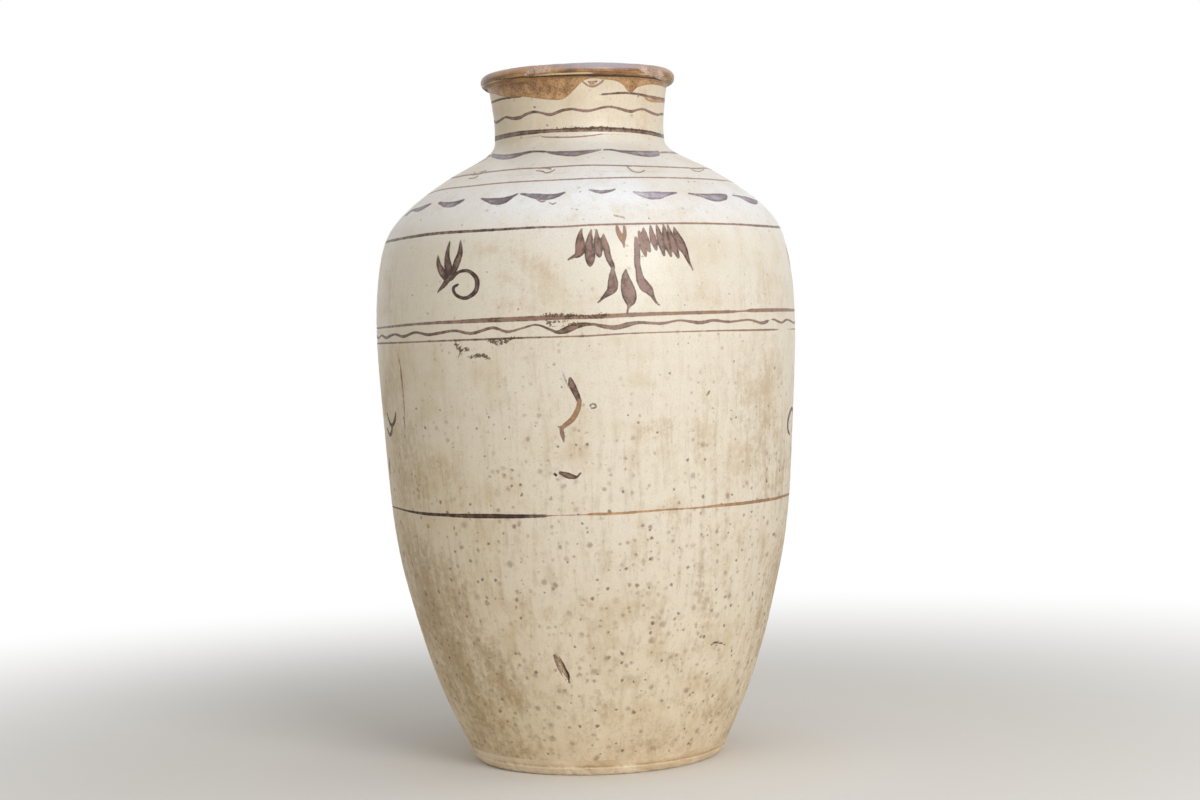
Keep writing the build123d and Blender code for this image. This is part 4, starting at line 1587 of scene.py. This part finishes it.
def lip_section():
    """The lip from the neck's rim round and over into the mouth, as (radius, height): half a circle,
    the arc that leaves its crown level and falls to the mouth, and that edge rounded over."""
    turn = np.linspace(-np.pi / 2, np.pi / 2, 40)
    roll = np.column_stack((np.cos(turn), np.sin(turn))) * roll_radius
    roll += (flared_radius, neck_top + roll_radius)
    run = flared_radius - throat_radius
    arc_radius = (run**2 + lip_fall**2) / (2 * lip_fall)
    arc_end = np.arcsin(run / arc_radius)
    cut = mouth_round * np.tan((np.pi / 2 - arc_end) / 2)
    sweep = np.linspace(0, arc_end - cut / arc_radius, 26)[1:]
    fall_radius = flared_radius - arc_radius * np.sin(sweep)
    fall_height = jar_height - arc_radius * (1 - np.cos(sweep))
    arc = np.column_stack((fall_radius, fall_height))
    edge = np.array((throat_radius, jar_height - lip_fall))
    share = np.linspace(0, 1, 9)[1:, None]
    rounded = (1 - share) ** 2 * arc[-1] + 2 * share * (1 - share) * edge + share**2 * (edge - (0, cut))
    wall_height = np.linspace(edge[1] - cut, neck_top, 9)[1:]
    wall = np.column_stack((np.full(8, throat_radius), wall_height))
    return np.concatenate((roll, arc, rounded, wall))


lip_shown = lip_section()
lip_places = carried_round(lip_shown)
worn_marks = [
    [(526, 74, 3), (534, 71, 7), (544, 69, 8), (551, 67, 4)],
    [(642, 68, 5), (650, 71, 9), (658, 74, 9), (664, 79, 4)],
]
worn_turns = (0, 118, -150)
worn_softness = 4.0
worn_depth = 0.0005
rim_crust_and_shade_softness = 3.0
# Painted sheen on the lip's top: a violet-grey reflection of the light above, strongest round these
# angles and only above the crown's foot
sheen_angles = (10, 126, -120)
sheen_spread = 37
sheen_foot, sheen_rise = 0.6032, 0.002
# A pale band round the lip's underside: thin glaze, widened as painted light over the shade under the
# lip
thin_middle, thin_reach = 0.5999, 0.0009
lip_lump, lip_lump_height = 0.03, 0.00022
lip_grain, lip_grain_height = 0.006, 0.00008
lip_room = 0.0004
lip_height = lip_places[..., 2]
lip_worn = soft_marks(lip_places, worn_marks, worn_softness, worn_turns)
# Dark crusty marks under the lip, partly painted shade
lip_crust_and_shade = soft_marks(lip_places, rim_crusts, rim_crust_and_shade_softness, rim_turns)
# The painted sheen on the lip's top, broken up a little
bloom = bells(lip_places, sheen_angles, sheen_spread) + 0.2 * ripple(lip_places, lip_lump, seed=21)
bloom *= np.clip((lip_height - sheen_foot) / sheen_rise, 0, 1)
# The pale band under the lip: thin glaze and painted light
thin = np.exp(-(((lip_height - thin_middle) / thin_reach) ** 2))
thin *= np.clip(0.6 + 0.9 * ripple(lip_places, lip_lump, seed=25), 0, 1)
thin *= lip_places[..., 0] ** 2 + lip_places[..., 1] ** 2 > flared_radius**2
lip_lift = lip_lump_height * ripple(lip_places, lip_lump, seed=22)
lip_lift += lip_grain_height * ripple(lip_places, lip_grain, seed=23)
lip_lift -= lip_room
lip_lift -= worn_depth * lip_worn * (0.6 + 0.4 * ripple(lip_places, lump=0.0022, seed=24))
lip_lift = np.minimum(lip_lift, 0)
lip_readings = {"chip": lip_worn, "crust": lip_crust_and_shade * 0.9, "bloom": np.clip(bloom, 0, 1), "thin": thin}
lip_finishes = [brown_glaze, bare_clay]
lip = turned("rolled_lip", lip_shown, lip_lift, [(lip_joint[::-1], 1)], lip_finishes, lip_readings)


# Base coil: a soft rope of clay pressed with a finger into the corner between slab and wall, inside,
# so that the joint there holds. The brown glaze poured round the inside covers it.
print_count = 26
print_depth = 0.0011


def finger_marks(places, seed):
    """Shallow prints that follow each other round a coil, deepest in its middle, as a lift."""
    middle = np.sin(np.linspace(0, np.pi, places.shape[0]))[:, None]
    presses = 0.5 + 0.5 * np.sin(print_count * angle_of(places) + 0.9 * ripple(places, 0.09, seed))
    return -print_depth * middle * presses**2


def pressed_coil(name, shown, back, seed):
    """A coil inside the jar: its face with finger marks, and its back along the wall."""
    lift = finger_marks(carried_round(shown), seed)
    piece = turned(name, shown, lift, [(back, 1)], [brown_glaze, bare_clay])


def bowed(start, end, bow):
    """Rows from one (radius, height) to another along an arc that stands bow off their chord."""
    share = np.linspace(0, 1, 15)[:, None]
    start, end = np.array(start), np.array(end)
    chord = end - start
    off = np.array((chord[1], -chord[0])) / np.linalg.norm(chord)
    return start + share * chord + 4 * share * (1 - share) * bow * off


def wall_inside(height):
    """A point of the wall's inner face at a height."""
    return hollow_radius(height), height


def wall_between(low, high):
    """Three points of the wall's inner face between two heights."""
    height = np.linspace(low, high, 5)[1:-1]
    return np.column_stack((hollow_radius(height), height))


base_coil_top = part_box("base_coil")[1].z
base_coil_width = 0.026
base_coil_hollow = 0.005
corner = wall_inside(slab_top)
floor_edge = (corner[0] - base_coil_width, slab_top)
base_face = bowed(wall_inside(base_coil_top), floor_edge, -base_coil_hollow)
base_back = np.vstack((corner, wall_between(slab_top, base_coil_top)))
pressed_coil("base_coil", base_face, base_back, 31)


# Lower coil: a strip of soft clay smoothed over the seam between the lower and the belly wall inside,
# thick over the seam and feathered out above and below it.
coil_bow = 0.004


def seam_coil(name, seed):
    """A coil over a seam inside, between the heights of the node's box."""
    low, high = (end.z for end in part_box(name))
    face = bowed(wall_inside(high), wall_inside(low), coil_bow)
    pressed_coil(name, face, wall_between(low, high), seed)


seam_coil("lower_coil", 32)


# Waist coil: the same kind of strip over the seam between the belly and the shoulder wall, pressed
# harder, as it was reached through the open shoulder.
seam_coil("waist_coil", 33)
